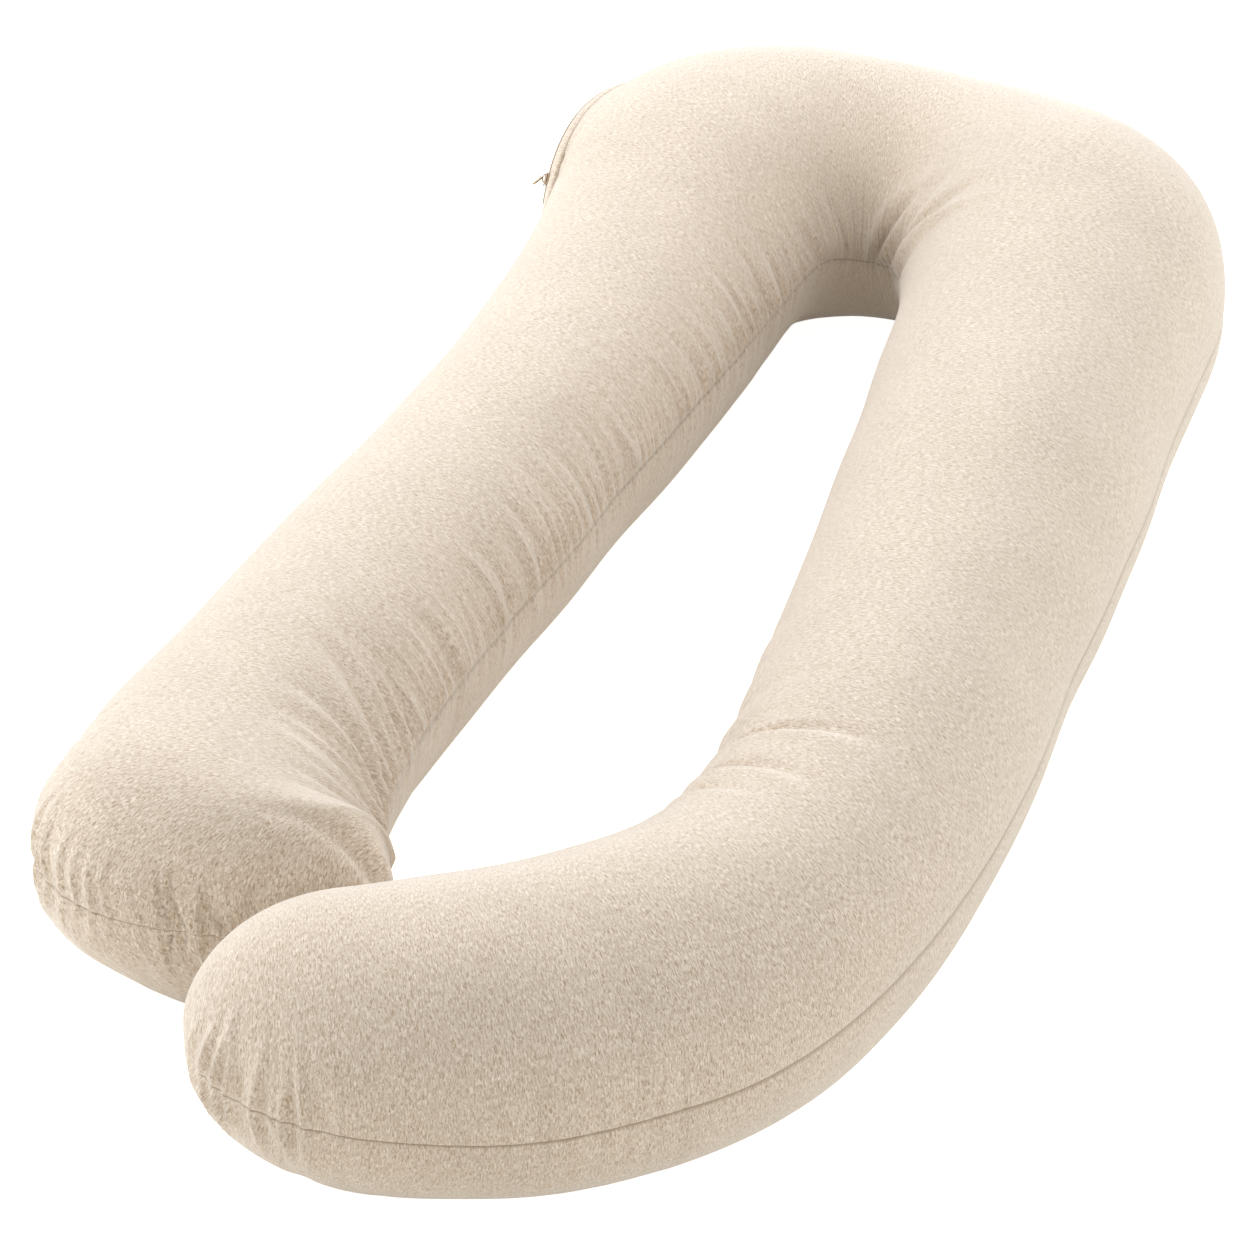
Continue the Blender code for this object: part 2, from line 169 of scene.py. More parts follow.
FOLDS = (
    # The inner corner behind the left toe.
    Fold("inner", 0.00, 0.0130, 0.0100, 0.160, 0.050, 0.00, 0.105, 0.1, -0.1, 0.020),
    Fold("inner", 1.60, 0.0045, 0.0060, 0.120, 0.030, 0.60, -0.010, 0.1, 0.5),
    Fold("inner", 2.35, 0.0060, 0.0070, 0.120, 0.030, 0.70, -0.020, 0.1, 0.5),
    Fold("inner", 3.05, 0.0050, 0.0065, 0.120, 0.030, 0.80, -0.035, 0.1, 0.5),
    Fold("inner", 3.62, 0.0095, 0.0090, 0.130, 0.030, 0.80, -0.040, 0.1, 0.5),
    Fold("inner", 4.15, 0.0065, 0.0070, 0.130, 0.030, 0.65, -0.040, 0.1, 0.5),
    Fold("inner", 4.66, 0.0115, 0.0088, 0.130, 0.030, 0.50, -0.035, 0.1, 0.5),
    Fold("inner", 4.86, 0.0060, 0.0065, 0.115, 0.030, 0.60, -0.040, 0.1, 0.5),
    Fold("inner", 5.03, 0.0098, 0.0076, 0.130, 0.030, 0.70, -0.050, 0.1, 0.5),
    Fold("inner", 5.20, 0.0115, 0.0086, 0.130, 0.030, 0.72, 0.000, 0.1, 0.5),
    Fold("inner", 5.40, 0.0092, 0.0076, 0.125, 0.030, 0.52, 0.010, 0.1, 0.5),
    Fold("inner", 5.56, 0.0060, 0.0062, 0.110, 0.030, 0.50, 0.000, 0.1, 0.5),
    Fold("inner", 5.71, 0.0085, 0.0075, 0.120, 0.030, 0.48, 0.000, 0.1, 0.5),
    Fold("inner", 5.92, 0.0060, 0.0068, 0.105, 0.030, 0.35, 0.000, 0.1, 0.5),
    # The left toe's outer seam.
    Fold("outer", 2.05, 0.0045, 0.0075, 0.050, 0.045, 0.20, 0.000, 0.5, 0.3),
    Fold("outer", 1.78, 0.0050, 0.0080, 0.055, 0.045, 0.30, 0.000, 0.5, 0.3),
    Fold("outer", 1.55, 0.0035, 0.0070, 0.050, 0.045, 0.30, 0.000, 0.4, 0.3),
    Fold("outer", 2.78, -0.0020, 0.0032, 0.055, 0.020, 0.05, 0.006, 0.2),
    Fold("outer", 2.95, -0.0030, 0.0032, 0.065, 0.020, 0.05, 0.006, 0.3),
    Fold("outer", 3.14, -0.0027, 0.0032, 0.065, 0.020, 0.05, 0.006, 0.3),
    Fold("outer", 3.32, -0.0030, 0.0032, 0.070, 0.030, 0.05, 0.008, 0.3),
    Fold("outer", 3.48, 0.0024, 0.0036, 0.060, 0.040, 0.10, 0.008, 0.3),
    Fold("outer", 3.60, -0.0030, 0.0032, 0.070, 0.045, 0.10, 0.008, 0.3),
    Fold("outer", 3.78, -0.0032, 0.0032, 0.075, 0.050, 0.00, 0.010, 0.4),
    Fold("outer", 3.88, 0.0026, 0.0034, 0.065, 0.040, 0.00, 0.010, 0.4),
    Fold("outer", 3.98, -0.0026, 0.0034, 0.075, 0.050, 0.00, 0.010, 0.4),
    # The inside of the far bend.
    Fold("inner", 14.40, -0.0035, 0.0055, 0.095, 0.030, 0.90, 0.055, 0.1),
    Fold("inner", 14.78, 0.0065, 0.0060, 0.110, 0.030, 1.40, 0.000, 0.1, 0.4),
    Fold("inner", 15.15, -0.0050, 0.0060, 0.110, 0.030, 2.20, -0.180, 0.1),
    Fold("inner", 15.60, 0.0050, 0.0060, 0.110, 0.030, 1.80, -0.120, 0.1, 0.4),
    Fold("inner", 16.00, 0.0095, 0.0065, 0.140, 0.030, 1.50, -0.084, 0.1, 0.4),
    Fold("inner", 16.25, -0.0060, 0.0065, 0.150, 0.030, 1.75, -0.110, 0.1),
    Fold("inner", 16.70, 0.0040, 0.0070, 0.120, 0.030, 1.60, -0.080, 0.1, 0.4),
    Fold("inner", 15.65, 0.0080, 0.0060, 0.004, 0.085, 0.20, 0.000, 0.1),
    Fold("inner", 16.05, 0.0100, 0.0060, 0.004, 0.090, 0.10, 0.000, 0.1),
    # The inside of the right arm's bend.
    Fold("inner", 23.60, 0.0025, 0.0060, 0.150, 0.030, 0.05, 0.000, 0.1, -0.4),
    Fold("inner", 23.96, 0.0035, 0.0055, 0.160, 0.030, 0.08, 0.000, 0.1, -0.4),
    Fold("inner", 24.14, 0.0060, 0.0050, 0.160, 0.030, 0.00, -0.006, 0.0, -0.3, 0.100),
    Fold("inner", 24.33, 0.0150, 0.0058, 0.200, 0.030, -0.06, -0.010, 0.0, -0.3, 0.100),
    Fold("inner", 24.78, 0.0130, 0.0055, 0.180, 0.030, -0.04, 0.000, 0.0, -0.3, 0.090),
    Fold("inner", 25.10, 0.0110, 0.0052, 0.150, 0.030, -0.02, 0.000, 0.0, -0.3, 0.080),
    # The right toe's outer seam, pinched into ridges.
    Fold("outer", 29.00, 0.0026, 0.0070, 0.055, 0.035, 0.00, 0.000, 0.3),
    Fold("outer", 29.12, -0.0040, 0.0034, 0.070, 0.040, 0.00, 0.000, 0.35),
    Fold("outer", 29.19, 0.0030, 0.0060, 0.055, 0.035, 0.00, 0.000, 0.3),
    Fold("outer", 29.26, -0.0040, 0.0034, 0.055, 0.055, -0.15, 0.000, 0.35),
    Fold("outer", 29.31, -0.0028, 0.0032, 0.035, 0.025, -0.10, 0.000, 0.3),
    Fold("outer", 29.37, 0.0024, 0.0055, 0.045, 0.030, -0.15, 0.000, 0.3),
    Fold("outer", 29.44, -0.0042, 0.0034, 0.060, 0.042, -0.20, 0.000, 0.35),
    Fold("outer", 29.53, 0.0028, 0.0050, 0.050, 0.030, -0.20, 0.000, 0.3),
    Fold("outer", 29.62, -0.0042, 0.0034, 0.058, 0.030, -0.20, 0.000, 0.35),
    Fold("outer", 29.66, 0.0030, 0.0034, 0.045, 0.035, -0.25, 0.000, 0.3),
    Fold("outer", 29.71, -0.0050, 0.0034, 0.075, 0.055, -0.28, 0.000, 0.35),
    Fold("outer", 29.77, 0.0032, 0.0036, 0.055, 0.040, -0.28, 0.000, 0.3),
    Fold("outer", 29.81, -0.0046, 0.0034, 0.065, 0.045, -0.30, 0.000, 0.35),
    Fold("outer", 29.87, 0.0026, 0.0034, 0.050, 0.035, -0.30, 0.000, 0.3),
    Fold("outer", 29.92, -0.0034, 0.0034, 0.055, 0.035, -0.30, 0.000, 0.3),
    # The fold that runs up from the zip's slider.
    Fold("outer", 11.15, 0.0014, 0.0060, 0.060, 0.010, 1.50, 0.000, 0.3),
)
SEAM_LINE_WIDTH = 0.0010
SEAM_DRAW = (0.0010, 0.010)  # depth and width of the wider hollow round the seam
GATHER_GAP = 0.015  # folds nearer than twice this make one gathered stretch
GATHER_PASSES = 8  # passes that soften where a gathered stretch starts and ends
FOLD_WINDOW = 0.24  # the farthest that a fold reaches along the tube
STEPS_ACROSS = 2.4  # rings in a fold's width
FINE_STEPS = (0.0014, 0.0030)  # smallest and largest step between rings across a fold
STREAK_REACH = 0.065  # how far the finest puckers run from a gathered seam
UNDER_LEFT = 0.30  # share of the puckers on the taut under panel between the arms
UNDER_FADE = 0.006  # distance from the seam over which they fade to it

# The blown-up cover that settles the filling before the seams and folds go on.
SETTLE_RINGS = 620
SETTLE_ROWS = 72
SETTLE_FRAMES = 12
SETTLE_PRESSURE = 20.0
SEAM_SHRINK = 0.10  # how much shorter the thread pulls a gathered seam
SHRINK_REACH = 0.010
SETTLE_SMOOTHING = 40  # passes that find the broad swelling, which is left out
SETTLE_CAP = 0.0025  # how far a point may move
SETTLE_REACH = 0.075  # the filling holds the cover smooth farther from a gathered seam
SETTLE_LEFT = 0.15  # share of the wrinkles that is left there


def smooth_curve(knots, values, at):
    """Reads, at each place, the natural cubic spline that passes through values at knots."""
    step = np.diff(knots)
    count = len(knots)
    system = np.eye(count)
    slopes = np.diff(values, axis=0) / step[:, None]
    change = np.zeros_like(values)
    for i in range(1, count - 1):
        system[i, i - 1 : i + 2] = step[i - 1], 2 * (step[i - 1] + step[i]), step[i]
        change[i] = 6 * (slopes[i] - slopes[i - 1])
    bend = np.linalg.solve(system, change)
    i = np.clip(np.searchsorted(knots, at, side="right") - 1, 0, count - 2)
    after = ((at - knots[i]) / step[i])[:, None]
    before = 1 - after
    sag = (before**3 - before) * bend[i] + (after**3 - after) * bend[i + 1]
    return before * values[i] + after * values[i + 1] + step[i][:, None] ** 2 / 6 * sag


def section_knots():
    """Distance of each section along the tube's middle line, from the left toe."""
    rows = np.array(SECTIONS)
    middle = (rows[:, 0:2] + rows[:, 2:4]) / 2
    gaps = np.linalg.norm(np.diff(middle, axis=0), axis=1)
    return np.concatenate([[0], np.cumsum(gaps)])


def along(place):
    """Distance along the tube of a place that is counted along SECTIONS."""
    return np.interp(place, np.arange(len(SECTIONS)), section_knots())


def toe_close(distance, length):
    """How far the sections have opened at each distance from a toe's tip, from 0 to 1."""
    left = np.clip(1 - distance / LEFT_TOE_LENGTH, 0, 1)
    right = np.clip(1 - (length - distance) / RIGHT_TOE_LENGTH, 0, 1)
    return np.sqrt((1 - left**2) * (1 - right**2))


def seam_climb(places):
    """Angle by which the outer seam climbs at each place, where the cover has turned on its filling."""
    first, last = along((CLIMB_FIRST, CLIMB_LAST))
    share = np.clip((places - first) / (last - first), 0, 1)
    return SEAM_CLIMB * np.sin(np.pi * share) ** 2


def turned_angles(places, angles):
    """The angles of every ring's points, moved with the outer seam: angles[ring, point]."""
    climb = seam_climb(places)[:, None]
    angles = np.asarray(angles)[None]
    above = np.clip(2 * angles / np.pi - 1, 0, 1)
    below = np.clip(3 - 2 * angles / np.pi, 0, 1)
    return angles - climb * np.minimum(above, below)


def zip_rise(places, angles):
    """Share by which the cover stands up along the zip, fading to both sides of the seam."""
    first, last = along((ZIP_FIRST, ZIP_LAST))
    share = np.clip((places - first) / (last - first), 0, 1)[:, None]
    offset = angles - np.pi + seam_climb(places)[:, None]
    return ZIP_RISE * np.sin(np.pi * share) ** 0.6 * np.exp(-((offset / ZIP_RISE_ANGLE) ** 2))


def tube_points(places, angles):
    """The tube's plain surface: points[ring, point], in the sections' plan."""
    knots = section_knots()
    rows = smooth_curve(knots, np.array(SECTIONS), places)
    centre = (rows[:, 0:2] + rows[:, 2:4]) / 2
    close = toe_close(places, knots[-1])[:, None]
    reach = (rows[:, 0:2] - rows[:, 2:4]) / 2 * close
    crown, seam, belly = (rows[:, i : i + 1] for i in (4, 5, 6))
    across, rise = np.cos(np.atleast_2d(angles)), np.sin(np.atleast_2d(angles))
    power = np.where(rise >= 0, 1.0, 2 / belly)
    stand = 1 + zip_rise(places, angles)
    side = np.sign(across) * np.abs(across) ** power * stand
    lift = np.abs(rise) ** power * stand
    over = seam + close * lift * (crown - seam)
    under = seam - close * lift * (seam + SINK)
    height = np.maximum(np.where(rise >= 0, over, under), 0)
    plan = centre[:, None] + reach[:, None] * side[..., None]
    return np.concatenate([plan, height[..., None]], axis=-1)


def fold_list():
    """All single folds and the puckers of all runs."""
    return list(FOLDS) + [fold for run in RUNS for fold in run_folds(run)]


def gathered(places, side):
    """Whether each place along the tube has puckers or folds on a side of it."""
    inside = np.zeros(len(places), bool)
    for fold in fold_list():
        if fold.side == side:
            inside |= np.abs(places - along(fold.place)) < GATHER_GAP
    return inside


def wanted_steps(places, side):
    """Largest step between rings that shows the folds on a side of the tube."""
    steps = np.full(len(places), PLAIN_STEP)
    for fold in fold_list():
        if fold.side == side:
            sway = fold.lean * fold.above / 2 + fold.bend / 4
            near = np.abs(places - along(fold.place) - sway) < abs(sway) + fold.width * 2.5
            fine = np.clip(fold.width / STEPS_ACROSS, *FINE_STEPS)
            steps = np.where(near, np.minimum(steps, fine), steps)
    return steps


def ring_places(count):
    """Distances of the rings along the tube: close together in the gathers and toes."""
    length = section_knots()[-1]
    toe = TOE_PROBES * (1 - np.cos(np.linspace(0, np.pi / 2, PROBES // 4)))
    probes = np.unique(np.concatenate([np.linspace(0, length, PROBES), toe, length - toe]))
    steps = np.linalg.norm(np.diff(tube_points(probes, PROBE_ANGLES), axis=0), axis=-1)
    middle = (probes[1:] + probes[:-1]) / 2
    wanted = np.full(steps.shape, PLAIN_STEP)
    across = np.cos(PROBE_ANGLES)
    for side, towards in (("inner", across > SIDE_FACING), ("outer", across < -SIDE_FACING)):
        wanted = np.where(towards[None], wanted_steps(middle, side)[:, None], wanted)
    need = (steps / wanted).max(axis=1)
    total = np.concatenate([[0], np.cumsum(need)])
    return np.interp(np.linspace(0, total[-1], count + 2)[1:-1], total, probes)


def ring_angles():
    """Angles of a ring's points: 0 is the inner seam, 90 degrees the top, 180 the outer seam."""
    over = np.pi / 2 * (np.arange(ROWS_OVER + 1) / ROWS_OVER) ** ROW_CROWDING
    under = np.pi / 2 * (np.arange(ROWS_UNDER + 1) / ROWS_UNDER) ** ROW_CROWDING
    return np.concatenate([over, np.pi - over[-2::-1], np.pi + under[1:], 2 * np.pi - under[-2:0:-1]])


def outer_row():
    """Number of the row of points that lies on the outer seam."""
    return 2 * ROWS_OVER


def distance_from_seam(points, start):
    """Length along each ring from its point number start to every point, the short way round."""
    turned = np.roll(points, -start, axis=1)
    steps = np.linalg.norm(np.roll(turned, -1, axis=1) - turned, axis=-1)
    forward = np.concatenate([np.zeros((len(points), 1)), np.cumsum(steps, axis=1)[:, :-1]], axis=1)
    girth = steps.sum(axis=1, keepdims=True)
    return np.roll(np.minimum(forward, girth - forward), start, axis=1)


def normals_of(points):
    """Outward unit normals of a grid of rings."""
    ahead = np.roll(points, -1, axis=1) - np.roll(points, 1, axis=1)
    travel = np.gradient(points, axis=0)
    normal = np.cross(travel, ahead)
    return normal / np.maximum(np.linalg.norm(normal, axis=-1, keepdims=True), 1e-12)


def run_folds(run):
    """The small puckers of a run, each unlike its neighbours."""
    chance = np.random.default_rng(run.seed)
    pitches = chance.uniform(0.6, 1.4, run.puckers)
    shares = (np.cumsum(pitches) - pitches / 2) / pitches.sum()
    first, last = run.first, run.last
    for share in shares:
        size = chance.uniform(0.45, 1.15) * np.sin(np.pi * share) ** 0.4
        place = first + share * (last - first)
        pitch = (along(last) - along(first)) / run.puckers
        sign = -1 if chance.random() < run.ridges else 1
        yield Fold(
            run.side,
            place,
            run.depth * size * sign,
            pitch * chance.uniform(0.22, 0.38),
            run.above * chance.uniform(0.6, 1.25),
            run.below * chance.uniform(0.5, 1.2),
            run.lean + chance.uniform(-0.12, 0.12),
            chance.uniform(-0.006, 0.006),
            run.hold,
        )


def crease(x, sharpness, skew):
    """Cross-section of a crease of depth 1 and half-width 1, with a low ridge at each side, or a step."""
    round_part = (x**2 - 1) * np.exp(-(x**2))
    sharp_part = -np.exp(-2.5 * (np.sqrt(x**2 + 0.06) - 0.25))
    plain = (1 - sharpness) * round_part + sharpness * sharp_part
    step = -2 * x * np.exp(1 - 2 * np.abs(x))
    return (1 - abs(skew)) * plain + skew * step


def taut_under(points, angles):
    """Share of the puckers that is left at each point, less on the under panel between the arms."""
    below = (np.sin(angles) < 0) & (np.cos(angles) > 0)
    kept = UNDER_LEFT + (1 - UNDER_LEFT) * np.exp(-distance_from_seam(points, 0) / UNDER_FADE)
    return np.where(below[None], kept, 1.0)


def crease_relief(places, points, angles):
    """Height of all puckers and folds over the plain surface, for each point of the grid."""
    metric = np.linalg.norm(np.gradient(points, places, axis=0), axis=-1)
    upper = np.sin(angles) >= -1e-9
    relief = np.zeros(points.shape[:2])
    away = {"inner": distance_from_seam(points, 0), "outer": distance_from_seam(points, outer_row())}
    for fold in fold_list():
        start = along(fold.place)
        near = np.abs(places - start) < FOLD_WINDOW
        distance = away[fold.side][near]
        reach = np.where(upper, fold.above, fold.below)[None]
        share = distance / reach
        fade = np.clip(1 - share**2, 0, 1) ** 1.5
        hold = fold.hold + (1 - fold.hold) * np.clip(distance / fold.rise, 0, 1)
        sway = fold.lean * distance + fold.bend * share**2
        offset = (places[near][:, None] - start - sway) * metric[near]
        wide = fold.width * (1 + 0.7 * share)
        sharpness = 0.35 if fold.depth > 0 else 0.6
        relief[near] += fold.depth * fade * hold * crease(offset / wide, sharpness, fold.skew)
    return relief * taut_under(points, angles)


def gentle_swell(points, seed, count, wavelength):
    """A soft unevenness of the filling, between about -1 and 1."""
    chance = np.random.default_rng(seed)
    total = np.zeros(points.shape[:-1])
    for _ in range(count):
        direction = chance.normal(size=3)
        direction /= np.linalg.norm(direction)
        turns = 2 * np.pi / (wavelength * chance.uniform(0.7, 1.5))
        total += np.sin(points @ direction * turns + chance.uniform(0, 2 * np.pi))
    return total / np.sqrt(count)


def seam_weight(places, points, outer, reach):
    """1 on a gathered seam, fading to 0 over the reach; outer is the number of the outer seam's row."""
    weight = np.zeros(points.shape[:2])
    for side, row in (("inner", 0), ("outer", outer)):
        near = gathered(places, side).astype(float)
        for _ in range(GATHER_PASSES):
            near = (np.roll(near, 1) + 2 * near + np.roll(near, -1)) / 4
        away = distance_from_seam(points, row)
        weight = np.maximum(weight, near[:, None] * np.exp(-((away / reach) ** 2)))
    return weight


def blow_up(points, shrink):
    """Blows up a cloth cover whose gathered seams pull short; returns where its points end."""
    tips = np.array([tip_point(SECTIONS[0]), tip_point(SECTIONS[-1])]) - PLAN_SHIFT
    mesh, _ = grid_mesh("settling_cover", points, tips)
    cover = bpy.data.objects.new("settling_cover", mesh)
    scene = bpy.context.scene
    scene.collection.objects.link(cover)
    floor = cover.vertex_groups.new(name="floor")
    floor.add(np.nonzero(points[..., 2].ravel() <= 0)[0].tolist(), 1.0, "REPLACE")
    thread = cover.vertex_groups.new(name="thread")
    for index in np.nonzero(shrink.ravel() > 0.02)[0]:
        thread.add([int(index)], float(shrink.flat[index]), "REPLACE")
    cloth = cover.modifiers.new("cloth", "CLOTH")
    cloth.collision_settings.use_collision = False
    cloth.point_cache.frame_end = SETTLE_FRAMES
    settings = cloth.settings
    settings.quality = 5
    settings.mass = 0.15
    settings.tension_stiffness = settings.compression_stiffness = 25
    settings.shear_stiffness = 10
    settings.bending_stiffness = 0.05
    settings.air_damping = 2
    settings.use_pressure = True
    settings.uniform_pressure_force = SETTLE_PRESSURE
    settings.effector_weights.gravity = 0
    settings.vertex_group_mass = "floor"
    settings.vertex_group_shrink = "thread"
    settings.shrink_min, settings.shrink_max = 0.0, SEAM_SHRINK
    for number in range(1, SETTLE_FRAMES + 1):
        scene.frame_set(number)
    settled = cover.evaluated_get(bpy.context.evaluated_depsgraph_get()).data
    found = np.empty(len(settled.vertices) * 3)
    settled.vertices.foreach_get("co", found)
    bpy.data.objects.remove(cover)
    bpy.data.meshes.remove(mesh)
    scene.frame_set(1)
    return found.reshape(-1, 3)[:-2].reshape(points.shape)


def smoothed(grid, passes):
    """A grid of rings and rows with its neighbours averaged, round the tube and along it."""
    for _ in range(passes):
        grid = (np.roll(grid, 1, axis=1) + 2 * grid + np.roll(grid, -1, axis=1)) / 4
        ends = np.concatenate([grid[:1], grid, grid[-1:]])
        grid = (ends[:-2] + 2 * grid + ends[2:]) / 4
    return grid


def read_between(values, at):
    """Values at fractional row numbers, on a smooth curve through them."""
    first = np.clip(np.floor(at).astype(int), 1, len(values) - 3)
    share = (at - first)[:, None]
    a, b, c, d = (values[first + step] for step in (-1, 0, 1, 2))
    return b + share / 2 * (c - a + share * (2 * a - 5 * b + 4 * c - d + share * (3 * (b - c) + d - a)))


def settled_relief(places, angles):
    """The wrinkles that the blown-up cover takes, read at the fine grid's places and angles."""
    coarse = ring_places(SETTLE_RINGS)
    around = np.arange(SETTLE_ROWS) * 2 * np.pi / SETTLE_ROWS
    points = tube_points(coarse, turned_angles(coarse, around))
    moved = blow_up(points, seam_weight(coarse, points, SETTLE_ROWS // 2, SHRINK_REACH)) - points
    outward = (moved * normals_of(points)).sum(axis=-1)
    wrinkles = smoothed(outward, 1) - smoothed(outward, SETTLE_SMOOTHING)
    wrinkles = SETTLE_CAP * np.tanh(wrinkles / SETTLE_CAP)
    near = seam_weight(coarse, points, SETTLE_ROWS // 2, SETTLE_REACH)
    wrinkles *= (SETTLE_LEFT + (1 - SETTLE_LEFT) * near) * taut_under(points, around)
    ring = np.interp(places, coarse, np.arange(SETTLE_RINGS))
    along_tube = read_between(wrinkles, ring)
    edge = 3
    wrapped = np.concatenate([along_tube[:, -edge:], along_tube, along_tube[:, : edge + 1]], axis=1)
    return read_between(wrapped.T, angles / (2 * np.pi) * SETTLE_ROWS + edge).T


def cover_grid(settings):
    """The finished cover: its points, ring places and ring angles."""
    places, angles = ring_places(RINGS), ring_angles()
    points = tube_points(places, turned_angles(places, angles))
    close = toe_close(places, section_knots()[-1])[:, None]
    relief = crease_relief(places, points, angles) * settings.pucker_strength * np.sqrt(close)
    relief += settings.unevenness * gentle_swell(points, seed=23, count=14, wavelength=0.13)
    relief += settled_relief(places, angles) * close
    for row in (0, outer_row()):
        away = distance_from_seam(points, row)
        for depth, width in ((settings.seam_depth, SEAM_LINE_WIDTH), SEAM_DRAW):
            relief -= depth * np.exp(-((away / width) ** 1.5))
    flat = points[..., 2] <= 0
    points = points + normals_of(points) * np.where(flat, 0, relief)[..., None]
    points[..., 2] = np.where(flat, 0, np.maximum(points[..., 2], 0))
    return points + PLAN_SHIFT, places, angles


def tip_point(section):
    """The closing point of a toe, on the middle line at the seam's height."""
    middle_x = (section.inner_x + section.outer_x) / 2
    middle_y = (section.inner_y + section.outer_y) / 2
    return np.array([middle_x, middle_y, section.seam]) + PLAN_SHIFT


def grid_mesh(name, points, tips):
    """A closed mesh round a grid of rings, with a fan of faces at each tip."""
    count, around = points.shape[:2]
    index = np.arange(count * around).reshape(count, around)
    beside = np.roll(index, -1, axis=1)
    walls = np.stack([index[:-1], index[1:], beside[1:], beside[:-1]], axis=-1).reshape(-1, 4)
    first, last = count * around, count * around + 1
    fans = [np.stack([np.full(around, first), index[0], beside[0]], axis=1)]
    fans.append(np.stack([np.full(around, last), beside[-1], index[-1]], axis=1))
    fans = np.concatenate(fans)
    corners = np.concatenate([walls.ravel(), fans.ravel()]).astype(np.int32)
    sizes = np.concatenate([np.full(len(walls), 4), np.full(len(fans), 3)])
    starts = np.concatenate([[0], np.cumsum(sizes)[:-1]]).astype(np.int32)
    mesh = bpy.data.meshes.new(name)
    mesh.vertices.add(count * around + 2)
    mesh.vertices.foreach_set("co", np.concatenate([points.reshape(-1, 3), tips]).ravel())
    mesh.loops.add(len(corners))
    mesh.loops.foreach_set("vertex_index", corners)
    mesh.polygons.add(len(sizes))
    mesh.polygons.foreach_set("loop_start", starts)
    mesh.update(calc_edges=True)
    mesh.validate()
    mesh.shade_smooth()
    return mesh, corners


def lay_of_cloth(mesh, corners, points, places):
    """A UV map in metres: along the tube, and round it from the inner seam."""
    count, around = points.shape[:2]
    steps = np.linalg.norm(np.roll(points, -1, axis=1) - points, axis=-1)
    turn = np.concatenate([np.zeros((count, 1)), np.cumsum(steps, axis=1)], axis=1)

    def laid(numbers):
        """Where the corners of faces lie; the last face of a ring ends at its full girth."""
        ring, row = np.divmod(numbers, around)
        closing = (row.max(axis=1, keepdims=True) == around - 1) & (row == 0)
        return np.stack([places[ring], turn[ring, np.where(closing, around, row)]], axis=-1)

    walls = (count - 1) * around * 4
    ends = laid(corners[walls:].reshape(-1, 3)[:, 1:])
    fans = np.concatenate([ends.mean(axis=1, keepdims=True), ends], axis=1)
    uv = np.concatenate([laid(corners[:walls].reshape(-1, 4)).ravel(), fans.ravel()])
    mesh.uv_layers.new(name="lay").data.foreach_set("uv", uv)


def mark_points(mesh, name, values):
    """A value for each point of the grid, and 0 for the tips."""
    marks = mesh.attributes.new(name, "FLOAT", "POINT")
    marks.data.foreach_set("value", np.append(values.ravel(), [0, 0]).astype(np.float32))


# The zip at the far left corner

TAPE_PROUD = 0.0012  # how far the tape stands out from the seam
TAPE_WIDTH = 0.0060
TAPE_EDGE = 0.0002  # thickness at its two edges
TAPE_SHOULDER = 0.8  # height there before it drops, as a share of the middle's
TAPE_END = 0.004  # bare tape before the first tooth and after the last
TOOTH_PITCH = 0.0016
TOOTH_SIZE = (0.00085, 0.0030, 0.0011)  # along the seam, across it, out
TOOTH_STAGGER = 0.0007  # the two rows' teeth lie this far to either side of the seam
BAND_WIDTH = 0.0090  # of the folded strip of cover over the tape
BAND_PROUD = 0.0016
BAND_SUNK = (0.0040, 0.0045, 0.0020)  # depth of its hidden side, at its far edge, middle and near edge
BAND_GAP = 0.0016  # from the seam's line to each strip's near edge
LOWER_BAND = (0.7, 0.8)  # width and height of the lower strip, as shares of the upper one's
BAND_RINGS = 160
BAND_BEYOND = (0.12, 0.15)  # how far the strips go past the zip's ends, counted along SECTIONS
SLIDER_AT = 11.18
SLIDER_SIZE = (0.013, 0.008, 0.0045)  # along the seam, across it, out
SLIDER_PLATE = 0.0012  # thickness of its two plates
SLIDER_SUNK = 0.0006  # how far it sinks into the tape
SLIDER_CORE = (0.45, 0.35, 0.7)  # of the wedge between the plates, as shares of the slider's size
CORE_AHEAD = 0.2  # how far the wedge lies off the middle, as a share of the length
SOFT_EDGE = 0.0005  # how far a plate's edges are rounded, at most
BRIDGE = (  # the middle line of the loop that holds the pull: along the seam, and out
    (-0.0038, 0.0), (-0.0034, 0.0012), (-0.0018, 0.0019), (0.0018, 0.0019), (0.0034, 0.0012), (0.0038, 0.0),
)
BRIDGE_WIDTH = 0.0022
BRIDGE_THICKNESS = 0.0008
PULL_SIZE = (0.011, 0.005, 0.0018)  # length, width, thickness
PULL_SLOT = (0.0032, 0.0024)  # length and width of the hole that hangs on the bridge
PULL_PLAY = (0.001, 0.0002)  # how far the pull's end lies past the bridge, and off the slider
PULL_DROOP = np.radians(35)  # away from the slider's face
PULL_SWING = np.radians(-40)  # sideways, the way its weight pulls it
AXIS_STEP = 0.010  # between the places along the seam that give its direction
TOOTH_STEP = 0.001  # the same, for one tooth
BESIDE_SEAM = np.linspace(-0.5, 0.5, 101)  # angles to both sides of the seam, where distances are measured


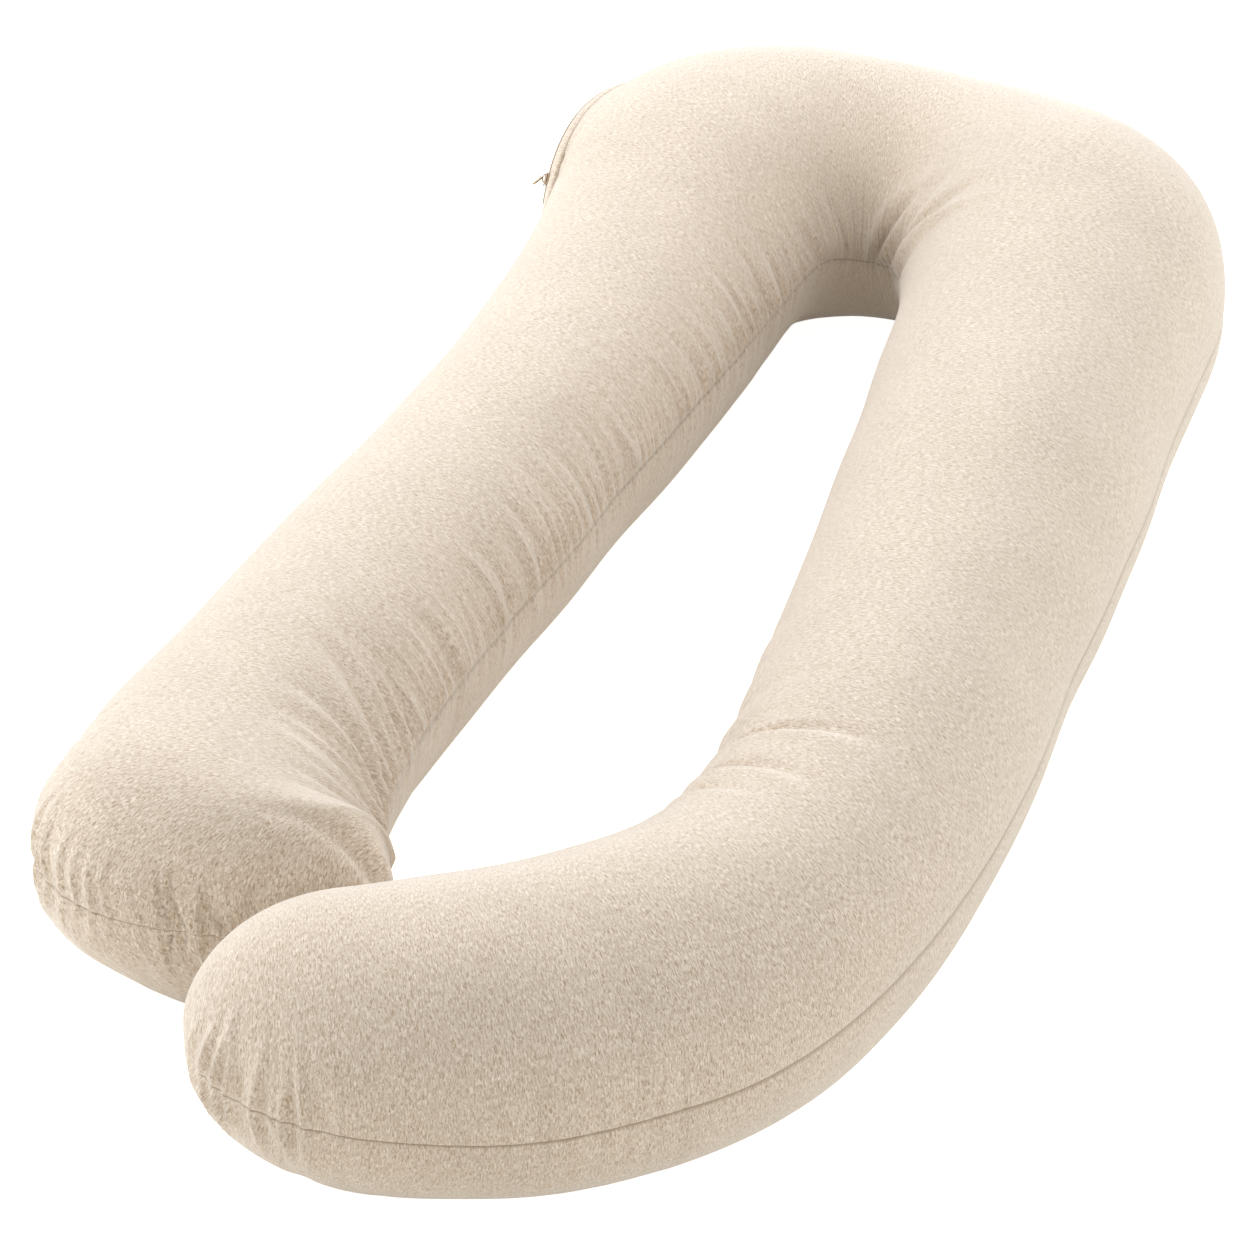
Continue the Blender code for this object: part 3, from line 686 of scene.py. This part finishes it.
def beside_outer_seam(places, distances):
    """Points and outward normals at distances from the outer seam, upwards."""
    grid = tube_points(places, np.pi - seam_climb(places)[:, None] - BESIDE_SEAM)
    normal = np.cross(np.gradient(grid, axis=0), -np.gradient(grid, axis=1))
    normal /= np.linalg.norm(normal, axis=-1, keepdims=True)
    steps = np.linalg.norm(np.diff(grid, axis=1), axis=-1)
    length = np.concatenate([np.zeros((len(places), 1)), np.cumsum(steps, axis=1)], axis=1)
    length -= length[:, len(BESIDE_SEAM) // 2, None]
    found = []
    for ring in range(len(places)):
        values = np.concatenate([grid[ring], normal[ring]], axis=1)
        found.append([np.interp(distances, length[ring], column) for column in values.T])
    found = np.swapaxes(np.array(found), 1, 2)
    return found[..., :3] + PLAN_SHIFT, found[..., 3:]


def strip_mesh(name, places, section, taper):
    """A closed strip along the outer seam; section lists distance up and height out, as a ring."""
    section = np.array(section)
    spots, normals = beside_outer_seam(places, section[:, 0])
    ends = np.minimum(np.arange(len(places)), np.arange(len(places))[::-1]) / taper
    swell = np.sqrt(np.clip(ends, 0.02, 1))[:, None, None]
    middle = spots.mean(axis=1, keepdims=True)
    points = middle + (spots - middle) * swell + normals * section[:, 1][None, :, None] * swell
    tips = np.array([points[0].mean(axis=0), points[-1].mean(axis=0)])
    mesh, corners = grid_mesh(name, points, tips)
    lay_of_cloth(mesh, corners, points, places)
    return mesh


def zip_axes(place):
    """A place on the outer seam, the way out of it, and the turn to along the seam, down and out."""
    here, normal = beside_outer_seam(along(place) + np.array([-AXIS_STEP, 0, AXIS_STEP]), [0.0])
    tangent = here[2, 0] - here[0, 0]
    tangent /= np.linalg.norm(tangent)
    out = normal[1, 0] - tangent * (normal[1, 0] @ tangent)
    out /= np.linalg.norm(out)
    turn = Matrix([Vector(axis) for axis in (tangent, np.cross(out, tangent), out)])
    return Vector(here[1, 0]), Vector(out), turn.transposed().to_4x4()


def rounded_plate(bm, length, width, thickness, squareness, move, hole=None):
    """A flat plate with a rounded outline and soft edges; hole gives its length, width and place."""
    turns = np.linspace(0, 2 * np.pi, 40, endpoint=False)
    outline = np.stack([np.cos(turns), np.sin(turns)], axis=1)
    outline = np.sign(outline) * np.abs(outline) ** (2 / squareness)
    soft = min(0.3 * thickness, SOFT_EDGE)
    face = thickness / 2
    levels = ((-face, soft), (-face + soft, 0), (face - soft, 0), (face, soft))
    rings = []
    for height, inset in levels:
        half = np.array([length / 2 - inset, width / 2 - inset])
        rings.append([bm.verts.new(move @ Vector((*(p * half), height))) for p in outline])
    if hole:
        centre = np.array([hole[2], 0.0])
        for height, inset in levels[::-1]:
            half = np.array([hole[0] / 2 + inset, hole[1] / 2 + inset])
            rings.append([bm.verts.new(move @ Vector((*(centre + p * half), height))) for p in outline])
    count = len(outline)
    pairs = list(zip(rings[:-1], rings[1:]))
    if hole:
        pairs.append((rings[-1], rings[0]))
    for low, high in pairs:
        for i in range(count):
            j = (i + 1) % count
            bm.faces.new((low[i], low[j], high[j], high[i]))
    if not hole:
        bm.faces.new(rings[0][::-1])
        bm.faces.new(rings[-1])


def finished(bm, name):
    """Turns a bmesh into a mesh with its faces outwards."""
    bmesh.ops.recalc_face_normals(bm, faces=bm.faces)
    mesh = bpy.data.meshes.new(name)
    bm.to_mesh(mesh)
    bm.free()
    mesh.shade_smooth()
    return mesh


def zip_chain_mesh(width, pitch):
    """The tape with the row of closed coil teeth along its middle."""
    places = np.linspace(*along((ZIP_FIRST, ZIP_LAST)), BAND_RINGS)
    half, proud = width / 2, TAPE_PROUD
    shoulder = proud * TAPE_SHOULDER
    section = ((half, TAPE_EDGE), (half, shoulder), (0.0, proud), (-half, shoulder), (-half, TAPE_EDGE))
    tape = strip_mesh("zip_chain", places, section, 2)
    bm = bmesh.new()
    bm.from_mesh(tape)
    seam, _ = beside_outer_seam(places, [0.0])
    run = np.concatenate([[0], np.cumsum(np.linalg.norm(np.diff(seam[:, 0], axis=0), axis=1))])
    for number, distance in enumerate(np.arange(TAPE_END, run[-1] - TAPE_END, pitch / 2)):
        place = np.interp(distance, run, places)
        here, normal = beside_outer_seam(place + np.array([-TOOTH_STEP, 0, TOOTH_STEP]), [0.0])
        tangent = Vector(here[2, 0] - here[0, 0]).normalized()
        out = Vector(normal[1, 0]).normalized()
        down = out.cross(tangent).normalized()
        side = TOOTH_STAGGER if number % 2 else -TOOTH_STAGGER
        turn = Matrix((tangent, down, out)).transposed().to_4x4()
        centre = Vector(here[1, 0]) + out * (TAPE_PROUD + TOOTH_SIZE[2] * 0.35) + down * side
        size = Matrix.Diagonal((*TOOTH_SIZE, 1))
        made = bmesh.ops.create_cube(bm, size=1, matrix=Matrix.Translation(centre) @ turn @ size)
        top = [v for v in made["verts"] if (v.co - centre).dot(out) > 0]
        for vertex in top:
            off = vertex.co - centre
            vertex.co -= tangent * off.dot(tangent) * 0.5 + down * off.dot(down) * 0.25
    return finished(bm, "zip_chain")


def zip_slider_mesh(size):
    """The slider: two plates with the teeth between them, and the bridge that holds the pull."""
    here, out, turn = zip_axes(SLIDER_AT)
    length, width, height = size
    base = Matrix.Translation(here + out * (TAPE_PROUD + height / 2 - SLIDER_SUNK)) @ turn
    bm = bmesh.new()
    for level in (-height / 2 + SLIDER_PLATE, height / 2 - SLIDER_PLATE * 1.2):
        rounded_plate(bm, length, width, SLIDER_PLATE, 3.0, base @ Matrix.Translation((0, 0, level)))
    core = base @ Matrix.Translation((length * CORE_AHEAD, 0, 0))
    rounded_plate(bm, *(side * share for side, share in zip(size, SLIDER_CORE)), 2.6, core)
    half, thin = BRIDGE_WIDTH / 2, BRIDGE_THICKNESS / 2
    corners = ((0.0, -half, -thin), (0.0, half, -thin), (0.0, half, thin), (0.0, -half, thin))
    rings = []
    for x, z in BRIDGE:
        at = base @ Matrix.Translation((x, 0, height / 2 - SLIDER_PLATE * 0.9 + z))
        rings.append([bm.verts.new(at @ Vector(corner)) for corner in corners])
    for low, high in zip(rings[:-1], rings[1:]):
        for i in range(4):
            bm.faces.new((low[i], low[i - 1], high[i - 1], high[i]))
    bm.faces.new(rings[0])
    bm.faces.new(rings[-1])
    return finished(bm, "zip_slider_body")


def zip_pull_mesh(size, slider_height):
    """The pull tab, with the slot at its near end that hangs on the slider's bridge."""
    here, out, turn = zip_axes(SLIDER_AT)
    turn = turn @ Matrix.Rotation(PULL_SWING, 4, "Z") @ Matrix.Rotation(PULL_DROOP, 4, "Y")
    length, width, thickness = size
    hang = here + out * (TAPE_PROUD + slider_height + PULL_PLAY[1])
    middle = Matrix.Translation((PULL_PLAY[0] - length / 2, 0, thickness / 2))
    centre = Matrix.Translation(hang) @ turn @ middle
    bm = bmesh.new()
    rounded_plate(bm, length, width, thickness, 3.2, centre, hole=(*PULL_SLOT, length / 2 - PULL_SLOT[0]))
    return finished(bm, "zip_pull_tab")


def zip_band_mesh(name, near, far, proud):
    """A folded strip of cover beside the teeth, with a rolled near edge and a stitched far edge."""
    ends = along((ZIP_FIRST - BAND_BEYOND[0], ZIP_LAST + BAND_BEYOND[1]))
    places = np.linspace(*ends, BAND_RINGS)
    section = []
    for share in np.linspace(0, 1, 9):
        height = proud * (0.75 + 0.25 * np.cos(np.pi * share * 0.9) - 0.6 * share**6)
        section.append((near + (far - near) * share, height))
    for across, depth in zip((far, (near + far) / 2, near), BAND_SUNK):
        section.append((across, -depth))
    if far > near:
        section = section[::-1]
    return strip_mesh(name, places, section, 8)


# Materials


def linear(hex_colour):
    """An sRGB hex colour as a linear RGBA colour."""
    parts = [int(hex_colour[i : i + 2], 16) / 255 for i in (1, 3, 5)]
    return (*(c / 12.92 if c <= 0.04045 else ((c + 0.055) / 1.055) ** 2.4 for c in parts), 1.0)


def colour_property(name, description, default):
    """A colour setting whose default is given as sRGB hex."""
    return bpy.props.FloatVectorProperty(
        name=name, description=description, default=linear(default), subtype="COLOR", size=4, min=0.0, max=1.0
    )


def set_inputs(material, node, **inputs):
    """Sets or links a node's inputs: _2 is number 2, and two underscores stand for a space."""
    for name, value in inputs.items():
        key = int(name[1:]) if name[0] == "_" else name.replace("__", " ")
        socket = node.inputs[key]
        if isinstance(value, bpy.types.NodeSocket):
            material.node_tree.links.new(value, socket)
        else:
            socket.default_value = value


def add_node(material, kind, settings=None, **inputs):
    """A new shader node with its settings, and its inputs set or linked."""
    node = material.node_tree.nodes.new(kind)
    for name, value in (settings or {}).items():
        setattr(node, name, value)
    set_inputs(material, node, **inputs)
    return node


def new_material(name):
    """An empty node material and its Principled BSDF."""
    material = bpy.data.materials.new(name)
    material.use_nodes = True
    return material, material.node_tree.nodes["Principled BSDF"]


STREAK_SIZE = (0.0075, 0.075)  # of the finest puckers, along the tube and across the seam
STREAK_HEIGHT = 0.0030
FLECK_WIDTH = 0.00090  # of a dyed fibre bundle, along the tube: real ones of 0.3 mm are too fine to show
FLECK_LENGTH = 0.0040  # of the same, round the tube
FLECK_RELIEF = 0.0007  # how far the nap stands up
CLOUD_SIZE = 0.055  # of the patches where the brushing lies another way
RIB_PITCH = 0.0028  # of the zip's tape: real ribs of 0.5 mm are too fine to show
RIB_RELIEF = 0.0003
RUB_SIZE = 1 / 600  # of the rubbed spots on the enamel


def brushed_jersey(settings):
    """Brushed melange jersey, knitted from cream and tan cotton fibres."""
    # The dyed fibres show as short flecks round the tube. The raised nap keeps the cloth matt, and gives it a
    # pale bloom where it turns away from the eye. Where the seam gathers it, it pinches into fine streaks.
    material, shader = new_material("brushed_melange_jersey")
    lay = add_node(material, "ShaderNodeUVMap", {"uv_map": "lay"})
    scale = (1 / settings.fleck_width, 1 / settings.fleck_length, 1.0)
    thread = add_node(
        material, "ShaderNodeVectorMath", {"operation": "MULTIPLY"},
        _0=lay.outputs["UV"], _1=scale,
    )
    fleck = add_node(
        material, "ShaderNodeTexNoise", {"noise_dimensions": "2D"},
        Vector=thread.outputs["Vector"], Scale=1.1, Detail=2.0, Roughness=0.6, Distortion=0.8,
    )
    tone = add_node(material, "ShaderNodeValToRGB", Fac=fleck.outputs["Fac"])
    ramp = tone.color_ramp
    ramp.elements[0].position, ramp.elements[0].color = 0.29, settings.fleck_dark
    ramp.elements[1].position, ramp.elements[1].color = 0.71, settings.fleck_light
    middle = ramp.elements.new(0.5)
    middle.color = settings.ground
    cloud = add_node(
        material, "ShaderNodeTexNoise", {"noise_dimensions": "3D"},
        Vector=add_node(material, "ShaderNodeTexCoord").outputs["Object"],
        Scale=1 / CLOUD_SIZE, Detail=3.0, Roughness=0.6,
    )
    shade = add_node(
        material, "ShaderNodeMapRange",
        _0=cloud.outputs["Fac"], _1=0.3, _2=0.7, _3=0.97, _4=1.03,
    )
    brushed = add_node(
        material, "ShaderNodeVectorMath", {"operation": "SCALE"},
        _0=tone.outputs["Color"], Scale=shade.outputs[0],
    )
    # Painted shade: the seam's line is mixed towards a darker colour, standing in for the shade in the seam's
    # groove.
    seam = add_node(material, "ShaderNodeAttribute", {"attribute_name": "painted_seam_shade"})
    crease = add_node(
        material, "ShaderNodeMix", {"data_type": "RGBA", "blend_type": "MIX"},
        _0=seam.outputs["Fac"], _6=brushed.outputs["Vector"], _7=settings.seam_shade_colour,
    )
    bump = add_node(
        material, "ShaderNodeBump",
        Strength=0.5, Distance=FLECK_RELIEF, Height=fleck.outputs["Fac"],
    )
    pinch = add_node(
        material, "ShaderNodeVectorMath", {"operation": "MULTIPLY"},
        _0=lay.outputs["UV"], _1=(1 / STREAK_SIZE[0], 1 / STREAK_SIZE[1], 1.0),
    )
    streak = add_node(
        material, "ShaderNodeTexNoise", {"noise_dimensions": "2D"},
        Vector=pinch.outputs["Vector"], Scale=1.0, Detail=1.5, Roughness=0.5, Distortion=0.3,
    )
    gather = add_node(material, "ShaderNodeAttribute", {"attribute_name": "streaks"})
    height = add_node(
        material, "ShaderNodeMath", {"operation": "MULTIPLY"},
        _0=streak.outputs["Fac"], _1=gather.outputs["Fac"],
    )
    puckers = add_node(
        material, "ShaderNodeBump",
        Strength=1.0, Distance=STREAK_HEIGHT, Height=height.outputs["Value"], Normal=bump.outputs["Normal"],
    )
    set_inputs(
        material, shader,
        Base__Color=crease.outputs[2], Normal=puckers.outputs["Normal"], Roughness=0.92,
        Sheen__Weight=0.88, Sheen__Roughness=0.45, Sheen__Tint=linear("#FFFCF7"), Specular__IOR__Level=0.25,
    )
    return material


def woven_tape(colour):
    """Polyester zip tape, woven in fine ribs along its length."""
    # Smooth filament yarn gives an even beige with a faint gloss. The colour is painted a little darker
    # between the ribs as painted shade.
    material, shader = new_material("woven_polyester_tape")
    lay = add_node(material, "ShaderNodeUVMap", {"uv_map": "lay"})
    rib = add_node(
        material, "ShaderNodeTexWave", {"bands_direction": "Y"},
        Vector=lay.outputs["UV"], Scale=1 / RIB_PITCH, Distortion=0.4, Detail=1.0,
    )
    tone = add_node(material, "ShaderNodeValToRGB", Fac=rib.outputs["Fac"])
    # Painted shade: the ramp's dark end falls in the valleys between the ribs.
    tone.color_ramp.elements[0].color = linear("#A28E76")
    tone.color_ramp.elements[1].color = colour
    bump = add_node(material, "ShaderNodeBump", Strength=0.5, Distance=RIB_RELIEF, Height=rib.outputs["Fac"])
    set_inputs(
        material, shader,
        Base__Color=tone.outputs["Color"], Normal=bump.outputs["Normal"], Roughness=0.6,
    )
    return material


def slider_enamel(colour):
    """Die-cast zinc under baked enamel."""
    # The enamel flows out smooth and half glossy, and is thinner and darker at rubbed spots.
    material, shader = new_material("baked_enamel_on_zinc")
    rub = add_node(
        material, "ShaderNodeTexNoise",
        Vector=add_node(material, "ShaderNodeTexCoord").outputs["Object"], Scale=1 / RUB_SIZE, Detail=2.0,
    )
    tone = add_node(material, "ShaderNodeValToRGB", Fac=rub.outputs["Fac"])
    tone.color_ramp.elements[0].position, tone.color_ramp.elements[0].color = 0.35, linear("#8E7A62")
    tone.color_ramp.elements[1].position, tone.color_ramp.elements[1].color = 0.55, colour
    set_inputs(
        material, shader,
        Base__Color=tone.outputs["Color"], Roughness=0.38, Metallic=0.15,
        Coat__Weight=0.3, Coat__Roughness=0.25,
    )
    return material


# Settings


def share_property(name, description, default, most=1.0):
    """A setting without a unit, from 0 to its most."""
    return bpy.props.FloatProperty(name=name, description=description, default=default, min=0.0, max=most)


def size_property(name, description, default):
    """A size setting in metres, for one measure or for several."""
    if isinstance(default, float):
        return bpy.props.FloatProperty(
            name=name, description=description, default=default, min=0.0, unit="LENGTH", precision=5
        )
    return bpy.props.FloatVectorProperty(
        name=name, description=description, default=default,
        size=len(default), min=0.0, unit="LENGTH", precision=5,
    )


class CoverSettings(bpy.types.PropertyGroup):
    """Shape and colours of the filled cover."""

    pucker_strength: share_property("Pucker strength", "Depth of the gathers along the seam", 1.0, 2.0)
    unevenness: size_property("Unevenness", "Soft unevenness of the filling", 0.0008)
    seam_depth: size_property("Seam depth", "How deep the seam's line is drawn in", 0.0009)
    fleck_width: size_property("Fleck width", "Width of a dyed fibre bundle, along the tube", FLECK_WIDTH)
    fleck_length: size_property("Fleck length", "Length of a dyed fibre bundle, round the tube", FLECK_LENGTH)
    ground: colour_property("Ground", "Main colour of the jersey", "#CBBDAC")
    fleck_light: colour_property("Light fleck", "Colour of the pale fibres", "#E3D8CA")
    fleck_dark: colour_property("Dark fleck", "Colour of the dark fibres", "#AA957D")
    # Painted shade on the seams' lines: how dark it shows on each seam, and its colour.
    inner_seam: share_property("Inner seam", "How dark the seam between the arms shows", 0.65)
    outer_seam: share_property("Outer seam", "How dark the seam round the outside shows", 1.0)
    seam_shade_colour: colour_property("Seam", "Colour in the depth of the seam", "#9C8970")


class ZipSettings(bpy.types.PropertyGroup):
    """Sizes and colours of the zip."""

    tape_width: size_property("Tape width", "Width of the woven tape that shows", TAPE_WIDTH)
    tooth_pitch: size_property("Tooth pitch", "From one tooth to the next on a side", TOOTH_PITCH)
    slider_size: size_property("Slider", "Length, width and height of the slider", SLIDER_SIZE)
    pull_size: size_property("Pull", "Length, width and thickness of the pull tab", PULL_SIZE)
    band_width: size_property("Folded strip", "Width of the strip of cover beside the teeth", BAND_WIDTH)
    band_proud: size_property("Strip height", "How far the folded strip stands out", BAND_PROUD)
    tape: colour_property("Tape", "Colour of the tape and teeth", "#C4B098")
    enamel: colour_property("Enamel", "Colour of the slider and pull", "#B8A288")


class StageSettings(bpy.types.PropertyGroup):
    """Floor, light and viewpoint."""

    floor_colour: colour_property("Floor", "Colour of the floor", "#F8F3E9")
    floor_glow: share_property("Floor glow", "Light that the floor sheds by itself", 0.10)
    floor_seen: share_property("Floor whiteness", "The same as the viewer sees it", 0.90)
    key_power: bpy.props.FloatProperty(
        name="Key light", description="Power of the large soft lights", default=62.0, min=0.0, unit="POWER"
    )
    key_colour: colour_property("Light colour", "Colour of the large soft lights", "#FBFCFF")
    sky: share_property("Surround", "Strength of the light all round", 0.73, 3.0)
    azimuth: bpy.props.FloatProperty(
        name="Azimuth", description="Viewpoint round the pillow", default=np.radians(20.6), subtype="ANGLE"
    )
    elevation: bpy.props.FloatProperty(
        name="Elevation", description="Viewpoint over the floor", default=np.radians(33.4), subtype="ANGLE"
    )
    distance: bpy.props.FloatProperty(
        name="Distance", description="From the viewpoint to the pillow", default=3.42, unit="LENGTH"
    )


# Operators


def add_piece(name, mesh, material, nodes=()):
    """Puts a mesh in the scene as a piece that rides on the pillow's body."""
    mesh.materials.clear()
    mesh.materials.append(material)
    piece = bpy.data.objects.new(name, mesh)
    bpy.context.scene.collection.objects.link(piece)
    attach(piece, "root")
    if nodes:
        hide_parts(*nodes)
    return piece


class PILLOW_OT_cover(bpy.types.Operator):
    """Makes the filled cover with its seam and puckers"""

    bl_idname = "pillow.cover"
    bl_label = "Filled cover"

    def execute(self, context):
        settings = context.scene.pillow_cover
        points, places, angles = cover_grid(settings)
        tips = np.array([tip_point(SECTIONS[0]), tip_point(SECTIONS[-1])])
        mesh, corners = grid_mesh("filled_cover", points, tips)
        lay_of_cloth(mesh, corners, points, places)
        # The seams' lines carry painted shade, fainter on the inner seam than on the outer one.
        line = np.zeros(points.shape[:2])
        line[:, 0] = settings.inner_seam
        line[:, outer_row()] = settings.outer_seam
        mark_points(mesh, "painted_seam_shade", line)
        streaks = seam_weight(places, points, outer_row(), STREAK_REACH) * taut_under(points, angles)
        mark_points(mesh, "streaks", streaks)
        piece = add_piece("filled_cover", mesh, brushed_jersey(settings), ["pillow"])
        return {"FINISHED"}


class PILLOW_OT_zip(bpy.types.Operator):
    """Makes the zip's tape and teeth, its slider and pull, and the folded strips beside it"""

    bl_idname = "pillow.zip"
    bl_label = "Zip"

    def execute(self, context):
        settings = context.scene.pillow_zip
        jersey = bpy.data.materials["brushed_melange_jersey"]
        tape, enamel = woven_tape(settings.tape), slider_enamel(settings.enamel)
        chain = zip_chain_mesh(settings.tape_width, settings.tooth_pitch)
        slider = zip_slider_mesh(settings.slider_size)
        pull = zip_pull_mesh(settings.pull_size, settings.slider_size[2])
        add_piece("zip_chain", chain, tape, ["zip_tape"])
        add_piece("zip_slider_body", slider, enamel, ["zip_slider"])
        add_piece("zip_pull_tab", pull, enamel, ["zip_pull"])
        width, proud = settings.band_width, settings.band_proud
        upper = zip_band_mesh("zip_band_upper", BAND_GAP, BAND_GAP + width, proud)
        far = -BAND_GAP - width * LOWER_BAND[0]
        lower = zip_band_mesh("zip_band_lower", -BAND_GAP, far, proud * LOWER_BAND[1])
        add_piece("zip_band_upper", upper, jersey)
        add_piece("zip_band_lower", lower, jersey)
        return {"FINISHED"}


VIEW_CENTRE = np.array([0.015, -0.001, 0.1])  # in the sections' plan
VIEW_LENS, VIEW_SENSOR = 135, 36  # in millimetres
FLOOR_REACH = 14.0
FLOOR_DROP = 0.0005  # under the pillow, so that the two don't share a plane
LAMP_SIZE = 1.8
LAMP_AIM = Vector((0, 0, 0.1))
LAMPS = (  # name, place, share of the power
    ("left_box", (-2.5, 0.9, 1.9), 0.54),
    ("front_left_box", (-2.4, -0.8, 1.6), 0.62),
    ("back_left_box", (-1.8, 2.6, 2.4), 0.42),
    ("back_box", (0.5, 3.2, 2.2), 0.70),
    ("right_box", (2.8, 0.4, 1.6), 0.42),
)


class PILLOW_OT_stage(bpy.types.Operator):
    """Makes the floor, the soft light and the viewpoint"""

    bl_idname = "pillow.stage"
    bl_label = "Floor, light and view"

    def execute(self, context):
        settings = context.scene.pillow_stage
        scene = context.scene
        mesh = bpy.data.meshes.new("floor")
        corners = [(x * FLOOR_REACH, y * FLOOR_REACH, 0) for x, y in ((-1, -1), (1, -1), (1, 1), (-1, 1))]
        mesh.from_pydata(corners, [], [(0, 1, 2, 3)])
        # Matt white paint on a smooth floor. It looks evenly white to the viewer, as a cut-out ground does,
        # and towards the pillow it sheds a faint glow of its own, on top of the light that a plain floor
        # throws back.
        material, shader = new_material("matt_floor_paint_with_glow")
        path = add_node(material, "ShaderNodeLightPath")
        glow = add_node(
            material, "ShaderNodeMapRange",
            _0=path.outputs["Is Camera Ray"], _3=settings.floor_glow, _4=settings.floor_seen,
        )
        set_inputs(
            material, shader,
            Base__Color=settings.floor_colour, Roughness=0.9, Specular__IOR__Level=0.1,
            Emission__Color=linear("#FFFFFF"), Emission__Strength=glow.outputs[0],
        )
        mesh.materials.append(material)
        floor = bpy.data.objects.new("floor", mesh)
        floor.location.z = -FLOOR_DROP
        scene.collection.objects.link(floor)

        world = bpy.data.worlds.new("soft_surround")
        world.use_nodes = True
        sky = world.node_tree.nodes["Background"]
        sky.inputs["Color"].default_value = linear("#FFFEFC")
        sky.inputs["Strength"].default_value = settings.sky
        scene.world = world

        for name, place, power in LAMPS:
            lamp = bpy.data.lights.new(name, "AREA")
            lamp.shape = "SQUARE"
            lamp.size = LAMP_SIZE
            lamp.energy = power * settings.key_power
            lamp.color = settings.key_colour[:3]
            holder = bpy.data.objects.new(name, lamp)
            holder.location = place
            holder.rotation_mode = "QUATERNION"
            holder.rotation_quaternion = (Vector(place) - LAMP_AIM).to_track_quat("Z", "Y")
            scene.collection.objects.link(holder)

        camera = bpy.data.objects.new("camera", bpy.data.cameras.new("camera"))
        camera.data.lens = VIEW_LENS
        camera.data.sensor_width = VIEW_SENSOR
        azimuth, elevation = settings.azimuth, settings.elevation
        level = np.cos(elevation)
        back = Vector((np.sin(azimuth) * level, -np.cos(azimuth) * level, np.sin(elevation)))
        camera.location = Vector(VIEW_CENTRE + PLAN_SHIFT) + back * settings.distance
        camera.rotation_mode = "QUATERNION"
        camera.rotation_quaternion = (-back).to_track_quat("-Z", "Y")
        scene.collection.objects.link(camera)
        scene.camera = camera
        scene.view_settings.view_transform = "Standard"
        return {"FINISHED"}


class PILLOW_PT_panel(bpy.types.Panel):
    """Lists the pillow's pieces and settings"""

    bl_label = "Pregnancy pillow"
    bl_idname = "PILLOW_PT_panel"
    bl_space_type = "VIEW_3D"
    bl_region_type = "UI"
    bl_category = "Pillow"

    def draw(self, context):
        for operator, group in OPERATORS:
            self.layout.operator(operator.bl_idname)
            for name in GROUPS[group].__annotations__:
                self.layout.prop(getattr(context.scene, group), name)


GROUPS = {"pillow_cover": CoverSettings, "pillow_zip": ZipSettings, "pillow_stage": StageSettings}
OPERATORS = (
    (PILLOW_OT_cover, "pillow_cover"), (PILLOW_OT_zip, "pillow_zip"), (PILLOW_OT_stage, "pillow_stage"),
)


def register():
    for name, group in GROUPS.items():
        bpy.utils.register_class(group)
        setattr(bpy.types.Scene, name, bpy.props.PointerProperty(type=group))
    for operator, _ in OPERATORS:
        bpy.utils.register_class(operator)
    bpy.utils.register_class(PILLOW_PT_panel)


def unregister():
    bpy.utils.unregister_class(PILLOW_PT_panel)
    for operator, _ in OPERATORS:
        bpy.utils.unregister_class(operator)
    for name, group in GROUPS.items():
        delattr(bpy.types.Scene, name)
        bpy.utils.unregister_class(group)


def main():
    register()
    bpy.ops.pillow.cover()
    bpy.ops.pillow.zip()
    bpy.ops.pillow.stage()


if __name__ == "__main__":
    main()
